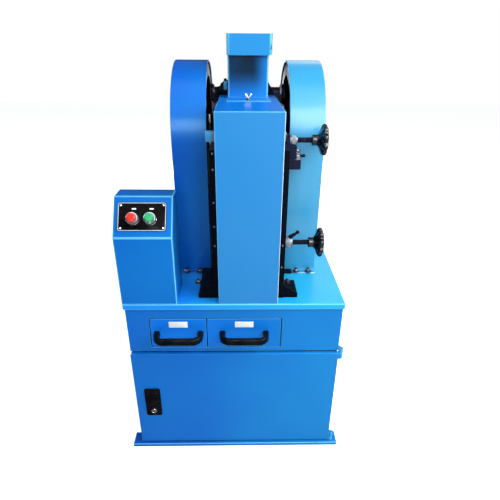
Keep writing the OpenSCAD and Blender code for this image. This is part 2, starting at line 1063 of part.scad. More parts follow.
module upper_spindle() {
    spindle(upper_base, upper_x + upper_free, panel_y + upper_y, upper_z);
}

module upper_knob() {
    knob(upper_x + upper_free, panel_y + upper_y, upper_z);
}

module lower_spindle() {
    spindle(lower_base, lower_x + lower_free, panel_y + lower_y, lower_z);
}

module lower_knob() {
    knob(lower_x + lower_free, panel_y + lower_y, lower_z);
}

foot_bars();
left_wall();
right_wall();
back_wall();
cabinet_floor();
drawer_panel();
drawer_deck();
table_top();
hinge_pivots();
cabinet_door();
door_knuckles();
door_lock();
left_drawer();
left_handle();
right_drawer();
right_handle();
control_box();
button_plate();
button_bezels();
red_button();
green_button();
front_cover();
wing_screw();
hopper_neck();
hopper_mouth();
left_guard();
right_guard();
left_side_plate();
right_side_plate();
back_plate();
crusher_feet();
jaw_axle();
jaw_head();
jaw_plates();
bearing_housings();
wheel_shaft();
left_flywheel();
right_flywheel();
cross_bar();
clamp_bracket();
upper_boss();
lower_boss();
upper_spindle();
upper_knob();
lower_spindle();
lower_knob();
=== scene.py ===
import json
import math

import bmesh
import bpy
from mathutils import Matrix, Vector


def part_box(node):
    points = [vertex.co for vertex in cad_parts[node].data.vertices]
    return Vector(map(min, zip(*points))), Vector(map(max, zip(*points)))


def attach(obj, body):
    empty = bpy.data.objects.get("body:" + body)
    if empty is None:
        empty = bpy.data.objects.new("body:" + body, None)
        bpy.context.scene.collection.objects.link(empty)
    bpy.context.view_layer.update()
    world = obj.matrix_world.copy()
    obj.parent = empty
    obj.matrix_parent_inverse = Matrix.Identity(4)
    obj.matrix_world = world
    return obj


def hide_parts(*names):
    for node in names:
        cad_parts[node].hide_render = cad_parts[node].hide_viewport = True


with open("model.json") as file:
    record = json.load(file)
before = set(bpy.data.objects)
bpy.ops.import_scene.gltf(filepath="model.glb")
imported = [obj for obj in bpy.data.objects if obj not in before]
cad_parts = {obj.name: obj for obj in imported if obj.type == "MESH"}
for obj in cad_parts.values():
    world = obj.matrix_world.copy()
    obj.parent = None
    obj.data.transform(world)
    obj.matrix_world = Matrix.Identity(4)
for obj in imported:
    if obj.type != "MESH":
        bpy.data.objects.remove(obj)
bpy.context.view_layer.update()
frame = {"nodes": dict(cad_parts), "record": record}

MM = 0.001
SHEET = 3 * MM           # the sheet steel of the guards, and about as wide as any cut edge
X, Y, Z = Vector((1, 0, 0)), Vector((0, 1, 0)), Vector((0, 0, 1))
JOINTS = {joint["name"]: joint for joint in frame["record"]["behaviour"]["joints"]}
BODY_OF = {
    node: body
    for body, nodes in frame["record"]["behaviour"]["bodies"].items()
    for node in nodes
}
SLOT_OF = {row["node"]: row["material_slot"] for row in frame["record"]["subparts"]}

FLOAT, VECTOR = "NodeSocketFloat", "NodeSocketVector"
FOLD_LIGHT = "painted fold light"       # face attribute: 0 to 1 for a painted highlight on a fold or cut edge, below 0 for painted shade on a fold
TURN = "turn"                   # point attribute that holds each point's rotation

WHITE = (1, 1, 1)
# Painted shadow under the mouth's overhang, laid on the neck
PAINTED_SHADOW_UNDER_MOUTH = (0.002, 0.012, 0.03)
BARE_SPOT = (0.01, 0.012, 0.02)
# Painted shade and painted highlight laid on folds and cut edges
SHADED_FOLD = (0.002, 0.01, 0.05)
PAINTED_FOLD_HIGHLIGHT = (0.8, 0.95, 1)
DUST_ON_BLUE = (0.15, 0.3, 0.5)


# ------------------------------------------------------------------ camera, floor and light

def aim_camera():
    """The camera stands in front of the machine, about level with its mouth, and looks down."""
    pitch, yaw, roll = (math.radians(angle) for angle in (26.727, -1.164, 0.433))
    ahead = Vector((0, math.cos(pitch), -math.sin(pitch)))
    above = Vector((0, math.sin(pitch), math.cos(pitch)))
    turn = Matrix.Rotation(yaw, 3, "Z")
    ahead, above, right = turn @ ahead, turn @ above, turn @ X
    lean = Matrix.Rotation(-roll, 3, ahead)
    right, above = lean @ right, lean @ above
    camera = bpy.data.objects.new("camera", bpy.data.cameras.new("camera"))
    bpy.context.collection.objects.link(camera)
    place = Matrix((right, above, -ahead)).transposed().to_4x4()
    place.translation = Vector((0.0154, -1.2877, 1.1585))
    camera.matrix_world = place
    camera.data.lens = 31.127
    camera.data.sensor_width = 36
    camera.data.shift_x = 0.0044
    camera.data.shift_y = 0.0266
    camera.data.clip_start = 0.02
    bpy.context.scene.camera = camera


def soft_box(name, place, aim, width, height, power):
    """A rectangular lamp that stands at a place and shines at a point."""
    lamp = bpy.data.lights.new(name, "AREA")
    lamp.shape = "RECTANGLE"
    lamp.size, lamp.size_y = width, height
    lamp.energy = power
    stand = bpy.data.objects.new(name, lamp)
    stand.location = place
    stand.rotation_euler = (Vector(aim) - Vector(place)).to_track_quat("-Z", "Y").to_euler()
    bpy.context.collection.objects.link(stand)
    return stand


def light_studio():
    """Lamps in front and above, and two low fills that light the left side and the back."""
    soft_box("key softbox", (1.5, -0.9, 1.95), (0.05, -0.1, 0.75), 1.5, 1.5, 56)
    soft_box("front softbox", (0.2, -3.4, 1.1), (0, 0, 0.5), 2.4, 0.7, 5)
    soft_box("top softbox", (-0.45, -0.8, 2.5), (-0.15, -0.15, 0.55), 2.4, 1.8, 14)
    soft_box("right strip", (0.6, -2.2, 2.15), (0.2, -0.1, 0.98), 0.5, 1.4, 18)
    soft_box("left strip", (-0.4, -2.2, 1.62), (-0.13, -0.1, 0.97), 0.3, 0.7, 9)
    soft_box("back softbox", (1.3, 4.6, 3.2), (0.25, -0.1, 0.53), 2.2, 1.2, 20)
    for name, place, power in (
        ("left fill", (-3.2, 1.0, 0.9), 34), ("back fill", (-0.2, 3.6, 0.5), 46),
    ):
        fill = soft_box(name, place, (0, 0.1, 0.5), 2.0, 0.8, power)
        fill.visible_camera = False


def white_world():
    """White where the camera looks; reflections see white below the horizon, a dim studio above."""
    world = bpy.data.worlds.new("studio")
    bpy.context.scene.world = world
    world.use_nodes = True
    sheet = Sheet(world.node_tree)
    sheet.tree.nodes.clear()
    seen = sheet.add("ShaderNodeLightPath").outputs
    glossy = sheet.math("MAXIMUM", seen["Is Glossy Ray"], seen["Is Transmission Ray"])
    way = sheet.parts(sheet.add("ShaderNodeTexCoord").outputs["Generated"])
    below = sheet.times(sheet.ramp(way["Z"], -0.04, 0.05, 0.84, 0.0), sheet.ramp(way["X"], -0.3, 0.1))
    mirrored = sheet.plus(below, sheet.ramp(way["Z"], 0.15, 0.5, 0.02, 0.12))
    strength = sheet.plus(seen["Is Camera Ray"], sheet.times(glossy, mirrored))
    plain = sheet.fed("ShaderNodeBackground", Color=(0.93, 0.96, 1), Strength=0.15)
    white = sheet.fed("ShaderNodeBackground", Color=WHITE, Strength=strength)
    shown = sheet.math("MAXIMUM", seen["Is Camera Ray"], glossy)
    end = sheet.add("ShaderNodeOutputWorld")
    sheet.join(sheet.mixed(shown, plain, white), end.inputs["Surface"])


def lay_floor():
    """A wide pale floor that looks white and keeps the machine's shadow. In reflections it glows as a
    painted reflection, bright far ahead and to the right and faint near the machine.
    """
    half = 9
    corners = [(-half, -half, 0), (half, -half, 0), (half, half, 0), (-half, half, 0)]
    material = bpy.data.materials.new("studio floor")
    material.use_nodes = True
    floor = own_object("floor", mesh_from("floor", corners, [(0, 1, 2, 3)]), material)
    sheet = Sheet(material.node_tree)
    sheet.tree.nodes.clear()
    seen = sheet.add("ShaderNodeLightPath").outputs
    grey = sheet.blend(seen["Is Glossy Ray"], (0.8, 0.8, 0.8), (0.1, 0.1, 0.1))
    shadowed = sheet.fed("ShaderNodeBsdfDiffuse", Color=grey)
    place = sheet.parts(sheet.add("ShaderNodeTexCoord").outputs["Object"])
    # Painted reflection: the glow that only reflections see, bright far ahead and to the right
    ahead = sheet.times(sheet.ramp(place["X"], -0.5, 0.25),
                        sheet.ramp(place["Y"], -2.2, -0.7, 1.0, 0.15))
    strength = sheet.plus(sheet.times(ahead, sheet.times(seen["Is Glossy Ray"], 0.9)),
                          sheet.times(seen["Is Camera Ray"], 0.86))
    glow = sheet.fed("ShaderNodeEmission", Color=WHITE, Strength=strength)
    lit = sheet.add("ShaderNodeAddShader")
    sheet.join(shadowed.outputs[0], lit.inputs[0])
    sheet.join(glow.outputs[0], lit.inputs[1])
    shown = sheet.math("MAXIMUM", seen["Is Camera Ray"], seen["Is Glossy Ray"])
    end = sheet.add("ShaderNodeOutputMaterial")
    sheet.join(sheet.mixed(shown, shadowed, lit), end.inputs["Surface"])


# ------------------------------------------------------------------ node sheets

class Sheet:
    """A node tree with short calls for adding nodes and joining sockets."""

    def __init__(self, tree):
        self.tree = tree

    def add(self, kind, **settings):
        node = self.tree.nodes.new(kind)
        for key, value in settings.items():
            setattr(node, key, value)
        return node

    def join(self, source, target):
        self.tree.links.new(source, target)

    def feed(self, socket, value):
        """Joins a socket to another or gives it a value; a colour's alpha is left at one."""
        if isinstance(value, bpy.types.NodeSocket):
            self.join(value, socket)
        elif socket.type == "RGBA":
            socket.default_value = (*value, 1)
        else:
            socket.default_value = value

    def fill(self, node, **values):
        """Feeds a node's inputs by their names, with an underscore for each space."""
        for label, value in values.items():
            self.feed(node.inputs[label.replace("_", " ")], value)
        return node

    def fed(self, kind, **values):
        return self.fill(self.add(kind), **values)

    def math(self, operation, *values):
        node = self.add("ShaderNodeMath", operation=operation)
        for socket, value in zip(node.inputs, values):
            self.feed(socket, value)
        return node.outputs[0]

    def times(self, first, second):
        return self.math("MULTIPLY", first, second)

    def plus(self, first, second):
        return self.math("ADD", first, second)

    def parts(self, vector):
        """The X, Y and Z of a vector."""
        return self.fed("ShaderNodeSeparateXYZ", Vector=vector).outputs

    def ramp(self, value, low, high, to_low=0.0, to_high=1.0):
        node = self.add("ShaderNodeMapRange", interpolation_type="SMOOTHSTEP")
        self.fill(node, Value=value, From_Min=low, From_Max=high, To_Min=to_low, To_Max=to_high)
        return node.outputs["Result"]

    def blend(self, share, first, second):
        """Goes from one colour to another; inputs 6 and 7 and output 2 are a mix's colours."""
        node = self.add("ShaderNodeMix", data_type="RGBA")
        self.feed(node.inputs["Factor"], share)
        self.feed(node.inputs[6], first)
        self.feed(node.inputs[7], second)
        return node.outputs[2]

    def noise(self, where, scale, detail=3.0, rough=0.55):
        node = self.fed("ShaderNodeTexNoise", Vector=where, Scale=scale, Detail=detail,
                        Roughness=rough)
        return node.outputs["Fac"]

    def mixed(self, share, first, second):
        """The outlet of one shader blended into another."""
        node = self.add("ShaderNodeMixShader")
        for socket, outlet in zip(node.inputs, (share, first.outputs[0], second.outputs[0])):
            self.join(outlet, socket)
        return node.outputs[0]


def new_group(name, inputs, outputs, kind="ShaderNodeTree"):
    """An empty node group; inputs hold (name, socket type, first value)."""
    tree = bpy.data.node_groups.new(name, kind)
    for label, socket, value in inputs:
        item = tree.interface.new_socket(label, in_out="INPUT", socket_type=socket)
        if value is not None:
            item.default_value = value
    for label, socket in outputs:
        tree.interface.new_socket(label, in_out="OUTPUT", socket_type=socket)
    sheet = Sheet(tree)
    return sheet, sheet.add("NodeGroupInput").outputs, sheet.add("NodeGroupOutput").inputs


def facing_of(sheet):
    """How far a face looks right, back and up."""
    return sheet.parts(sheet.add("ShaderNodeNewGeometry").outputs["Normal"])


def worn_edges_group():
    """Mask of the outer edges, whole and broken up into small chips."""
    sheet, given, out = new_group(
        "worn and highlighted edges",
        [("Where", VECTOR, None), ("Radius", FLOAT, 0.002), ("Chip Scale", FLOAT, 90.0)],
        [("Edge", FLOAT), ("Chips", FLOAT)],
    )
    rounded = sheet.fill(sheet.add("ShaderNodeBevel", samples=6), Radius=given["Radius"])
    flat = sheet.add("ShaderNodeNewGeometry")
    bend = sheet.add("ShaderNodeVectorMath", operation="DOT_PRODUCT")
    sheet.join(rounded.outputs["Normal"], bend.inputs[0])
    sheet.join(flat.outputs["Normal"], bend.inputs[1])
    away = sheet.math("SUBTRACT", 1.0, bend.outputs["Value"])
    edge = sheet.ramp(away, 0.015, 0.16)
    sheet.join(edge, out["Edge"])
    specks = sheet.noise(given["Where"], given["Chip Scale"], 4.0, 0.65)
    sheet.join(sheet.times(edge, sheet.ramp(specks, 0.56, 0.66)), out["Chips"])
    return sheet.tree


def dust_group():
    """Fine dust that lies on faces turned upwards."""
    sheet, given, out = new_group(
        "settled dust",
        [("Where", VECTOR, None), ("Scale", FLOAT, 14.0), ("Amount", FLOAT, 0.5)],
        [("Dust", FLOAT)],
    )
    upward = sheet.ramp(facing_of(sheet)["Z"], 0.55, 0.98)
    clouds = sheet.ramp(sheet.noise(given["Where"], given["Scale"], 5.0, 0.6), 0.38, 0.72)
    grains = sheet.ramp(sheet.noise(given["Where"], 900.0, 2.0), 0.35, 0.7, 0.6, 1.0)
    lying = sheet.times(upward, sheet.times(clouds, grains))
    sheet.join(sheet.times(lying, given["Amount"]), out["Dust"])
    return sheet.tree


def coat_drift_and_painted_light_group():
    """Random tone drift of the enamel coat with a painted light that grows towards the right, and its
    fine orange peel.
    """
    sheet, given, out = new_group(
        "sprayed coat and painted light",
        [("Where", VECTOR, None), ("Drift Scale", FLOAT, 3.0), ("Peel Scale", FLOAT, 260.0)],
        [("Drift", FLOAT), ("Peel", FLOAT)],
    )
    cloud = sheet.ramp(sheet.noise(given["Where"], given["Drift Scale"], 2.0), 0.3, 0.7, 0.0, 0.3)
    # Painted light: the tone grows lighter towards the right
    across = sheet.ramp(sheet.parts(given["Where"])["X"], -0.33, 0.33, 0.0, 0.7)
    sheet.join(sheet.plus(cloud, across), out["Drift"])
    fine = sheet.noise(given["Where"], given["Peel Scale"], 2.0, 0.4)
    broad = sheet.noise(given["Where"], 22.0, 1.0)
    sheet.join(sheet.plus(fine, sheet.times(broad, 3.0)), out["Peel"])
    return sheet.tree


def cast_skin_group():
    """Grainy skin of a sand casting or of thick brushed paint on one."""
    sheet, given, out = new_group(
        "cast skin",
        [("Where", VECTOR, None), ("Grain Scale", FLOAT, 320.0)],
        [("Pits", FLOAT), ("Shade", FLOAT)],
    )
    grain = sheet.noise(given["Where"], given["Grain Scale"], 5.0, 0.6)
    cells = sheet.add("ShaderNodeTexVoronoi", feature="SMOOTH_F1")
    sheet.fill(cells, Vector=given["Where"], Scale=140.0)
    pits = sheet.plus(grain, sheet.times(cells.outputs["Distance"], 0.5))
    sheet.join(pits, out["Pits"])
    sheet.join(sheet.ramp(sheet.noise(given["Where"], 11.0, 4.0), 0.3, 0.72), out["Shade"])
    return sheet.tree


def machined_group():
    """Fine lines left by turning or grinding, drawn out along one direction."""
    sheet, given, out = new_group(
        "machined lines",
        [("Where", VECTOR, None), ("Stretch", VECTOR, (900.0, 40.0, 40.0))],
        [("Lines", FLOAT), ("Stain", FLOAT)],
    )
    drawn = sheet.fed("ShaderNodeMapping", Vector=given["Where"], Scale=given["Stretch"])
    sheet.join(sheet.noise(drawn.outputs["Vector"], 1.0, 3.0, 0.6), out["Lines"])
    sheet.join(sheet.ramp(sheet.noise(given["Where"], 38.0, 4.0), 0.4, 0.7), out["Stain"])
    return sheet.tree


def handled_group():
    """Smudges on plastic that hands touch."""
    sheet, given, out = new_group(
        "handled plastic",
        [("Where", VECTOR, None), ("Grain Scale", FLOAT, 700.0)],
        [("Smudge", FLOAT), ("Grain", FLOAT)],
    )
    sheet.join(sheet.ramp(sheet.noise(given["Where"], 45.0, 4.0, 0.6), 0.35, 0.7), out["Smudge"])
    sheet.join(sheet.noise(given["Where"], given["Grain Scale"], 2.0), out["Grain"])
    return sheet.tree


GROUPS = {
    "edges": worn_edges_group(),
    "dust": dust_group(),
    "coat": coat_drift_and_painted_light_group(),
    "cast": cast_skin_group(),
    "lines": machined_group(),
    "handled": handled_group(),
}


# ------------------------------------------------------------------ materials

class Finish:
    """A material with its shader, its object coordinates and calls for the shared groups."""

    def __init__(self, name):
        self.material = bpy.data.materials.new(name)
        self.material.use_nodes = True
        self.sheet = Sheet(self.material.node_tree)
        self.shader = self.sheet.tree.nodes["Principled BSDF"]
        self.where = self.sheet.add("ShaderNodeTexCoord").outputs["Object"]

    def use(self, group, **values):
        node = self.sheet.add("ShaderNodeGroup", node_tree=GROUPS[group])
        return self.sheet.fill(node, Where=self.where, **values).outputs

    def set(self, **values):
        self.sheet.fill(self.shader, **values)

    def bump(self, height, distance, strength=1.0):
        node = self.sheet.fed("ShaderNodeBump", Height=height, Distance=distance, Strength=strength)
        self.set(Normal=node.outputs["Normal"])


def enamel(name, light, deep, edge=(0.16, 0.6, 0.95), chips=0.0, shadow_heights=None, specular=0.4,
           tint=(0.45, 0.9, 1), top=None, flank=None):
    """Satin enamel on sheet steel: tone drift, orange peel, painted highlights along its folds.

    Light is its tone at the right and deep at the left: painted light that grows towards the right,
    with a random drift mixed in. Top colours the faces that look up with their painted light and
    shade, and flank those that look neither up nor to the front, so the painted light stays on front
    faces.
    Edge is the tone of a painted highlight along the edges, and chips says how much of a fold is bare.
    Shadow heights hold the heights between which a painted shadow under the mouth's overhang grows
    darker.
    """
    finish = Finish(name)
    sheet = finish.sheet
    coat = finish.use("coat")
    # Edge mask that carries the painted highlight along the enamel's edges
    worn = finish.use("edges", Radius=2.2 * MM)
    lying = finish.use("dust", Amount=0.35)["Dust"]
    thin = sheet.add("ShaderNodeAttribute", attribute_name=FOLD_LIGHT).outputs["Fac"]
    looks = facing_of(sheet)
    # Painted light and shade: deep on the left, light on the right, with a random drift
    colour = sheet.blend(coat["Drift"], deep, light)
    # Painted light and shade by facing: faces that look up take the top tone, and faces that look
    # neither up nor to the front take the flank tone, so the paler painted light stays on front faces
    if top:
        colour = sheet.blend(sheet.ramp(looks["Z"], 0.5, 0.9), colour, top)
    if flank:
        ahead = sheet.ramp(looks["Y"], -0.5, -0.1, 1.0, 0.0)
        shown = sheet.math("MAXIMUM", ahead, sheet.ramp(looks["Z"], 0.1, 0.5))
        colour = sheet.blend(shown, flank, colour)
    # Painted shadow under the mouth's overhang: darker towards the top, fading towards the right
    if shadow_heights:
        place = sheet.parts(finish.where)
        film = sheet.ramp(place["Z"], *shadow_heights)
        film = sheet.times(film, sheet.ramp(place["X"], 0.05, 0.095, 1.0, 0.2))
        cloud = sheet.ramp(sheet.noise(finish.where, 30.0, 3.0), 0.3, 0.7, 0.93, 1.0)
        colour = sheet.blend(sheet.times(film, cloud), colour, PAINTED_SHADOW_UNDER_MOUTH)
    # Painted highlight: the pale edge tone laid along every outer edge at half strength
    colour = sheet.blend(sheet.times(worn["Edge"], 0.5), colour, edge)
    # Painted highlight on folds and cut edges, whiter as the value nears one; below zero, painted
    # shade
    fold = sheet.blend(sheet.ramp(thin, 0.8, 1.0), edge, PAINTED_FOLD_HIGHLIGHT)
    colour = sheet.blend(sheet.ramp(thin, 0.0, 1.0, 0.0, 0.9), colour, fold)
    colour = sheet.blend(sheet.ramp(thin, -1.0, 0.0, 0.85, 0.0), colour, SHADED_FOLD)
    if chips:
        specks = sheet.ramp(sheet.noise(finish.where, 75.0, 4.0, 0.65), 0.57, 0.64)
        bare = sheet.times(specks, sheet.ramp(thin, 0.2, 0.5, 0.0, chips))
        colour = sheet.blend(bare, colour, BARE_SPOT)
    colour = sheet.blend(sheet.times(lying, 0.04), colour, DUST_ON_BLUE)
    finish.set(
        Base_Color=colour,
        Roughness=sheet.plus(sheet.times(lying, 0.25), 0.3),
        Specular_IOR_Level=specular,
        Specular_Tint=tint,
        Coat_Weight=sheet.ramp(lying, 0.0, 1.0, 0.06, 0.02),
        Coat_Roughness=0.12,
    )
    finish.bump(coat["Peel"], 0.03 * MM)
    return finish.material


def black_enamel(name, tone=0.002, rough=0.34):
    """Semi-gloss black paint, a little grey where it is rubbed."""
    finish = Finish(name)
    sheet = finish.sheet
    coat = finish.use("coat", Peel_Scale=420.0)
    worn = finish.use("edges", Radius=1.5 * MM)
    lying = finish.use("dust", Amount=0.6)["Dust"]
    # Painted light: the black grows a little lighter towards the right
    colour = sheet.blend(coat["Drift"], (tone * 0.6, tone * 0.8, tone * 2),
                         (tone * 1.2, tone * 1.6, tone * 4))
    colour = sheet.blend(sheet.times(worn["Edge"], 0.3), colour, (0.03, 0.045, 0.08))
    colour = sheet.blend(sheet.times(worn["Chips"], 0.5), colour, (0.2, 0.2, 0.22))
    colour = sheet.blend(sheet.times(lying, 0.1), colour, (0.04, 0.055, 0.1))
    finish.set(
        Base_Color=colour,
        Roughness=sheet.ramp(coat["Drift"], 0, 1, rough - 0.08, rough + 0.1),
        Specular_IOR_Level=0.05,
    )
    finish.bump(coat["Peel"], 0.06 * MM)
    return finish.material


def black_casting(name):
    """Black paint on a rough casting, grey along its edges."""
    finish = Finish(name)
    sheet = finish.sheet
    cast = finish.use("cast")
    worn = finish.use("edges", Radius=2.5 * MM)
    lying = finish.use("dust", Amount=0.8)["Dust"]
    colour = sheet.blend(cast["Shade"], (0.001, 0.0015, 0.006), (0.004, 0.007, 0.02))
    colour = sheet.blend(sheet.times(worn["Edge"], 0.45), colour, (0.08, 0.085, 0.1))
    colour = sheet.blend(sheet.times(lying, 0.25), colour, (0.16, 0.17, 0.19))
    finish.set(
        Base_Color=colour,
        Roughness=sheet.ramp(cast["Shade"], 0, 1, 0.42, 0.6),
        Specular_IOR_Level=0.08,
    )
    finish.bump(cast["Pits"], 0.3 * MM, 0.7)
    return finish.material


def machined_steel(name, light, dark, stretch, rough, oil=0.25):
    """Turned or ground steel with fine lines and a thin film of oil."""
    finish = Finish(name)
    sheet = finish.sheet
    lines = finish.use("lines", Stretch=stretch)
    worn = finish.use("edges", Radius=1.2 * MM)
    colour = sheet.blend(lines["Lines"], dark, light)
    colour = sheet.blend(sheet.times(lines["Stain"], oil), colour, (0.05, 0.045, 0.04))
    colour = sheet.blend(sheet.times(worn["Edge"], 0.5), colour, (0.85, 0.87, 0.9))
    finish.set(
        Base_Color=colour,
        Metallic=sheet.ramp(lines["Stain"], 0, 1, 1.0, 0.85),
        Roughness=sheet.ramp(lines["Lines"], 0.2, 0.8, rough - 0.08, rough + 0.1),
    )
    finish.bump(lines["Lines"], 0.06 * MM)
    return finish.material


def bright_chrome(name):
    """Chrome plating, dulled a little where it is touched."""
    finish = Finish(name)
    sheet = finish.sheet
    touched = finish.use("handled")
    colour = sheet.blend(touched["Smudge"], (0.86, 0.87, 0.9), (0.74, 0.76, 0.8))
    finish.set(
        Base_Color=colour,
        Metallic=sheet.ramp(touched["Smudge"], 0, 1, 1.0, 0.96),
        Roughness=sheet.ramp(touched["Smudge"], 0, 1, 0.07, 0.2),
    )
    return finish.material


def worn_jaw(name):
    """Cast jaw steel, rubbed bright on its ridges by the ore."""
    finish = Finish(name)
    sheet = finish.sheet
    cast = finish.use("cast", Grain_Scale=240.0)
    worn = finish.use("edges", Radius=4 * MM)
    colour = sheet.blend(cast["Shade"], (0.16, 0.14, 0.125), (0.3, 0.29, 0.28))
    colour = sheet.blend(worn["Edge"], colour, (0.6, 0.6, 0.6))
    finish.set(
        Base_Color=colour,
        Metallic=sheet.ramp(worn["Edge"], 0, 1, 0.7, 1.0),
        Roughness=sheet.ramp(cast["Shade"], 0, 1, 0.35, 0.55),
    )
    finish.bump(cast["Pits"], 0.4 * MM, 0.8)
    return finish.material


def moulded_plastic(name, colour, pale, rough=0.22, gloss=0.35, specular=0.25):
    """Moulded plastic with faint smudges; the gloss comes from a thin coat."""
    finish = Finish(name)
    sheet = finish.sheet
    touched = finish.use("handled")
    worn = finish.use("edges", Radius=1 * MM)
    shade = sheet.blend(sheet.times(touched["Smudge"], 0.4), colour, pale)
    shade = sheet.blend(sheet.times(worn["Edge"], 0.4), shade, pale)
    finish.set(
        Base_Color=shade,
        Roughness=sheet.ramp(touched["Smudge"], 0, 1, rough, rough + 0.16),
        Specular_IOR_Level=specular,
        Coat_Weight=gloss,
        Coat_Roughness=0.1,
    )
    finish.bump(touched["Grain"], 0.02 * MM)
    return finish.material


def label_card(name):
    """Blank white card behind clear film."""
    finish = Finish(name)
    sheet = finish.sheet
    touched = finish.use("handled", Grain_Scale=1500.0)
    worn = finish.use("edges", Radius=0.8 * MM)
    colour = sheet.blend(touched["Smudge"], (0.86, 0.88, 0.9), (0.78, 0.81, 0.85))
    colour = sheet.blend(sheet.times(worn["Edge"], 0.5), colour, (0.6, 0.65, 0.72))
    finish.set(
        Base_Color=colour,
        Roughness=sheet.ramp(touched["Grain"], 0.3, 0.7, 0.3, 0.42),
    )
    finish.bump(touched["Grain"], 0.01 * MM)
    return finish.material


# One blue enamel in copies that are painted lighter or deeper for the light and shade on each part.
# The cover, the right guard, the drawers and the table's right get painted light. The cover's top, the
# left guard, the feet, the neck and the table's left get painted shade.
BLUE = enamel(
    "blue gloss enamel", light=(0.006, 0.23, 0.61), deep=(0.002, 0.124, 0.57),
)
BOX_BLUE = enamel(
    "blue gloss enamel of the control box", light=(0.01, 0.23, 0.56), deep=(0.003, 0.125, 0.54),
    specular=0.12,
)
FOOT_SHADED_BLUE = enamel(
    "blue gloss enamel of the feet", light=(0.01, 0.25, 0.6), deep=(0.002, 0.06, 0.42),
)
DRAWER_LIT_BLUE = enamel(
    "blue gloss enamel of the drawers", light=(0.003, 0.18, 0.52), deep=(0.003, 0.165, 0.78),
    specular=0.25,
)
COVER_LIT_AND_SHADED_BLUE = enamel(
    "blue gloss enamel of the cover", light=(0.04, 0.24, 0.55), deep=(0.018, 0.217, 0.575),
    specular=0.05, tint=(0.6, 0.9, 1), top=(0.001, 0.165, 0.66),
)
LEFT_GUARD_SHADED_BLUE = enamel(
    "blue gloss enamel of the left guard", light=(0.002, 0.24, 0.54), deep=(0.001, 0.068, 0.57),
    specular=0.6, tint=(0.35, 0.9, 1),
)
RIGHT_GUARD_LIT_BLUE = enamel(
    "blue gloss enamel of the right guard", light=(0.04, 0.34, 0.6), deep=(0.015, 0.28, 0.62),
    specular=1.0, tint=(0.9, 1, 1), flank=(0.006, 0.22, 0.6),
)
MOUTH_BLUE = enamel(
    "blue gloss enamel of the mouth", light=(0.014, 0.25, 0.58), deep=(0.008, 0.2, 0.55),
    chips=0.9,
)
NECK_SHADED_BLUE = enamel(
    "blue gloss enamel of the neck", light=(0.022, 0.3, 0.72), deep=(0.001, 0.065, 0.54),
    shadow_heights=(1.02, 1.1), specular=0.12,
)
TABLE_LIT_AND_SHADED_BLUE = enamel(
    "blue gloss enamel of the table", light=(0.02, 0.5, 0.66), deep=(0.003, 0.2, 0.98),
    flank=(0.006, 0.22, 0.6),
)
BAR_BLUE = enamel(
    "pale blue paint on the bar's end", light=(0.12, 0.48, 0.86), deep=(0.1, 0.42, 0.84),
    edge=(0.4, 0.6, 0.75),
)
BLACK = black_enamel("black enamel")
CASTING = black_casting("black casting")
DARK_STEEL = machined_steel(
    "oiled dark steel", (0.16, 0.16, 0.18), (0.06, 0.06, 0.08), (900.0, 30.0, 30.0), 0.34
)
AXLE_STEEL = machined_steel(
    "blackened axle steel", (0.02, 0.024, 0.045), (0.008, 0.01, 0.02), (600.0, 40.0, 40.0),
    0.4, oil=0.1,
)
CLAMP_BLACK = black_enamel("blue black enamel of the clamp", 0.011, 0.4)
THREAD_STEEL = black_enamel("blackened screw thread", 0.005, 0.4)
LIGHT_STEEL = machined_steel(
    "ground light steel", (0.36, 0.42, 0.5), (0.16, 0.2, 0.26), (500.0, 60.0, 60.0), 0.45,
    oil=0.3,
)
CHROME = bright_chrome("bright chrome")
JAW = worn_jaw("worn jaw steel")
PANEL = moulded_plastic("black panel", (0.002, 0.002, 0.003), (0.006, 0.006, 0.008), 0.22,
                        gloss=0.04, specular=0.05)
KNOB_BLACK = moulded_plastic("black gloss moulding of the knobs", (0.002, 0.002, 0.006),
                             (0.01, 0.014, 0.022), 0.14, gloss=0.5, specular=0.7)
RIM_PALE = moulded_plastic("satin rim of the button plate", (0.5, 0.57, 0.66),
                           (0.62, 0.7, 0.78), 0.3)
PLASTIC = moulded_plastic("black moulding", (0.002, 0.002, 0.003), (0.01, 0.012, 0.018), 0.2,
                          gloss=0.08, specular=0.1)
RED = moulded_plastic("red button", (0.72, 0.012, 0.008), (0.85, 0.1, 0.07), 0.2)
GREEN = moulded_plastic("green button", (0.005, 0.36, 0.13), (0.06, 0.55, 0.27), 0.2)
CARD = label_card("blank label card")

FINISH_OF_SLOT = {
    "blue_paint": BLUE, "black_paint": BLACK, "black_iron": CASTING, "dark_steel": DARK_STEEL,
    "light_steel": LIGHT_STEEL, "jaw_steel": JAW, "chrome": CHROME, "black_plate": PANEL,
    "black_plastic": PLASTIC, "red_plastic": RED, "green_plastic": GREEN,
}


# ------------------------------------------------------------------ mesh helpers

# Stands a slab that is drawn on X and Y up, so that it faces the front
UPRIGHT = Matrix.Rotation(math.pi / 2, 4, "X")


def shift(x, y, z):
    return Matrix.Translation((x, y, z))


def facing(axis, spin=0.0):
    """The turn that takes Z to an axis, after a spin about Z."""
    return axis.to_track_quat("Z", "Y").to_matrix().to_4x4() @ Matrix.Rotation(spin, 4, "Z")


def own_object(name, mesh, material):
    piece = bpy.data.objects.new(name, mesh)
    bpy.context.collection.objects.link(piece)
    if material is not None:
        mesh.materials.clear()
        mesh.materials.append(material)
    return piece


def settle(piece, sharp=35):
    """Puts a piece's live modifiers into its mesh and shades it smooth up to an angle."""
    graph = bpy.context.evaluated_depsgraph_get()
    mesh = bpy.data.meshes.new_from_object(piece.evaluated_get(graph))
    piece.modifiers.clear()
    old, piece.data = piece.data, mesh
    bpy.data.meshes.remove(old)
    mesh.name = piece.name
    for face in mesh.polygons:
        face.use_smooth = True
    mesh.set_sharp_from_angle(angle=math.radians(sharp))
    return piece


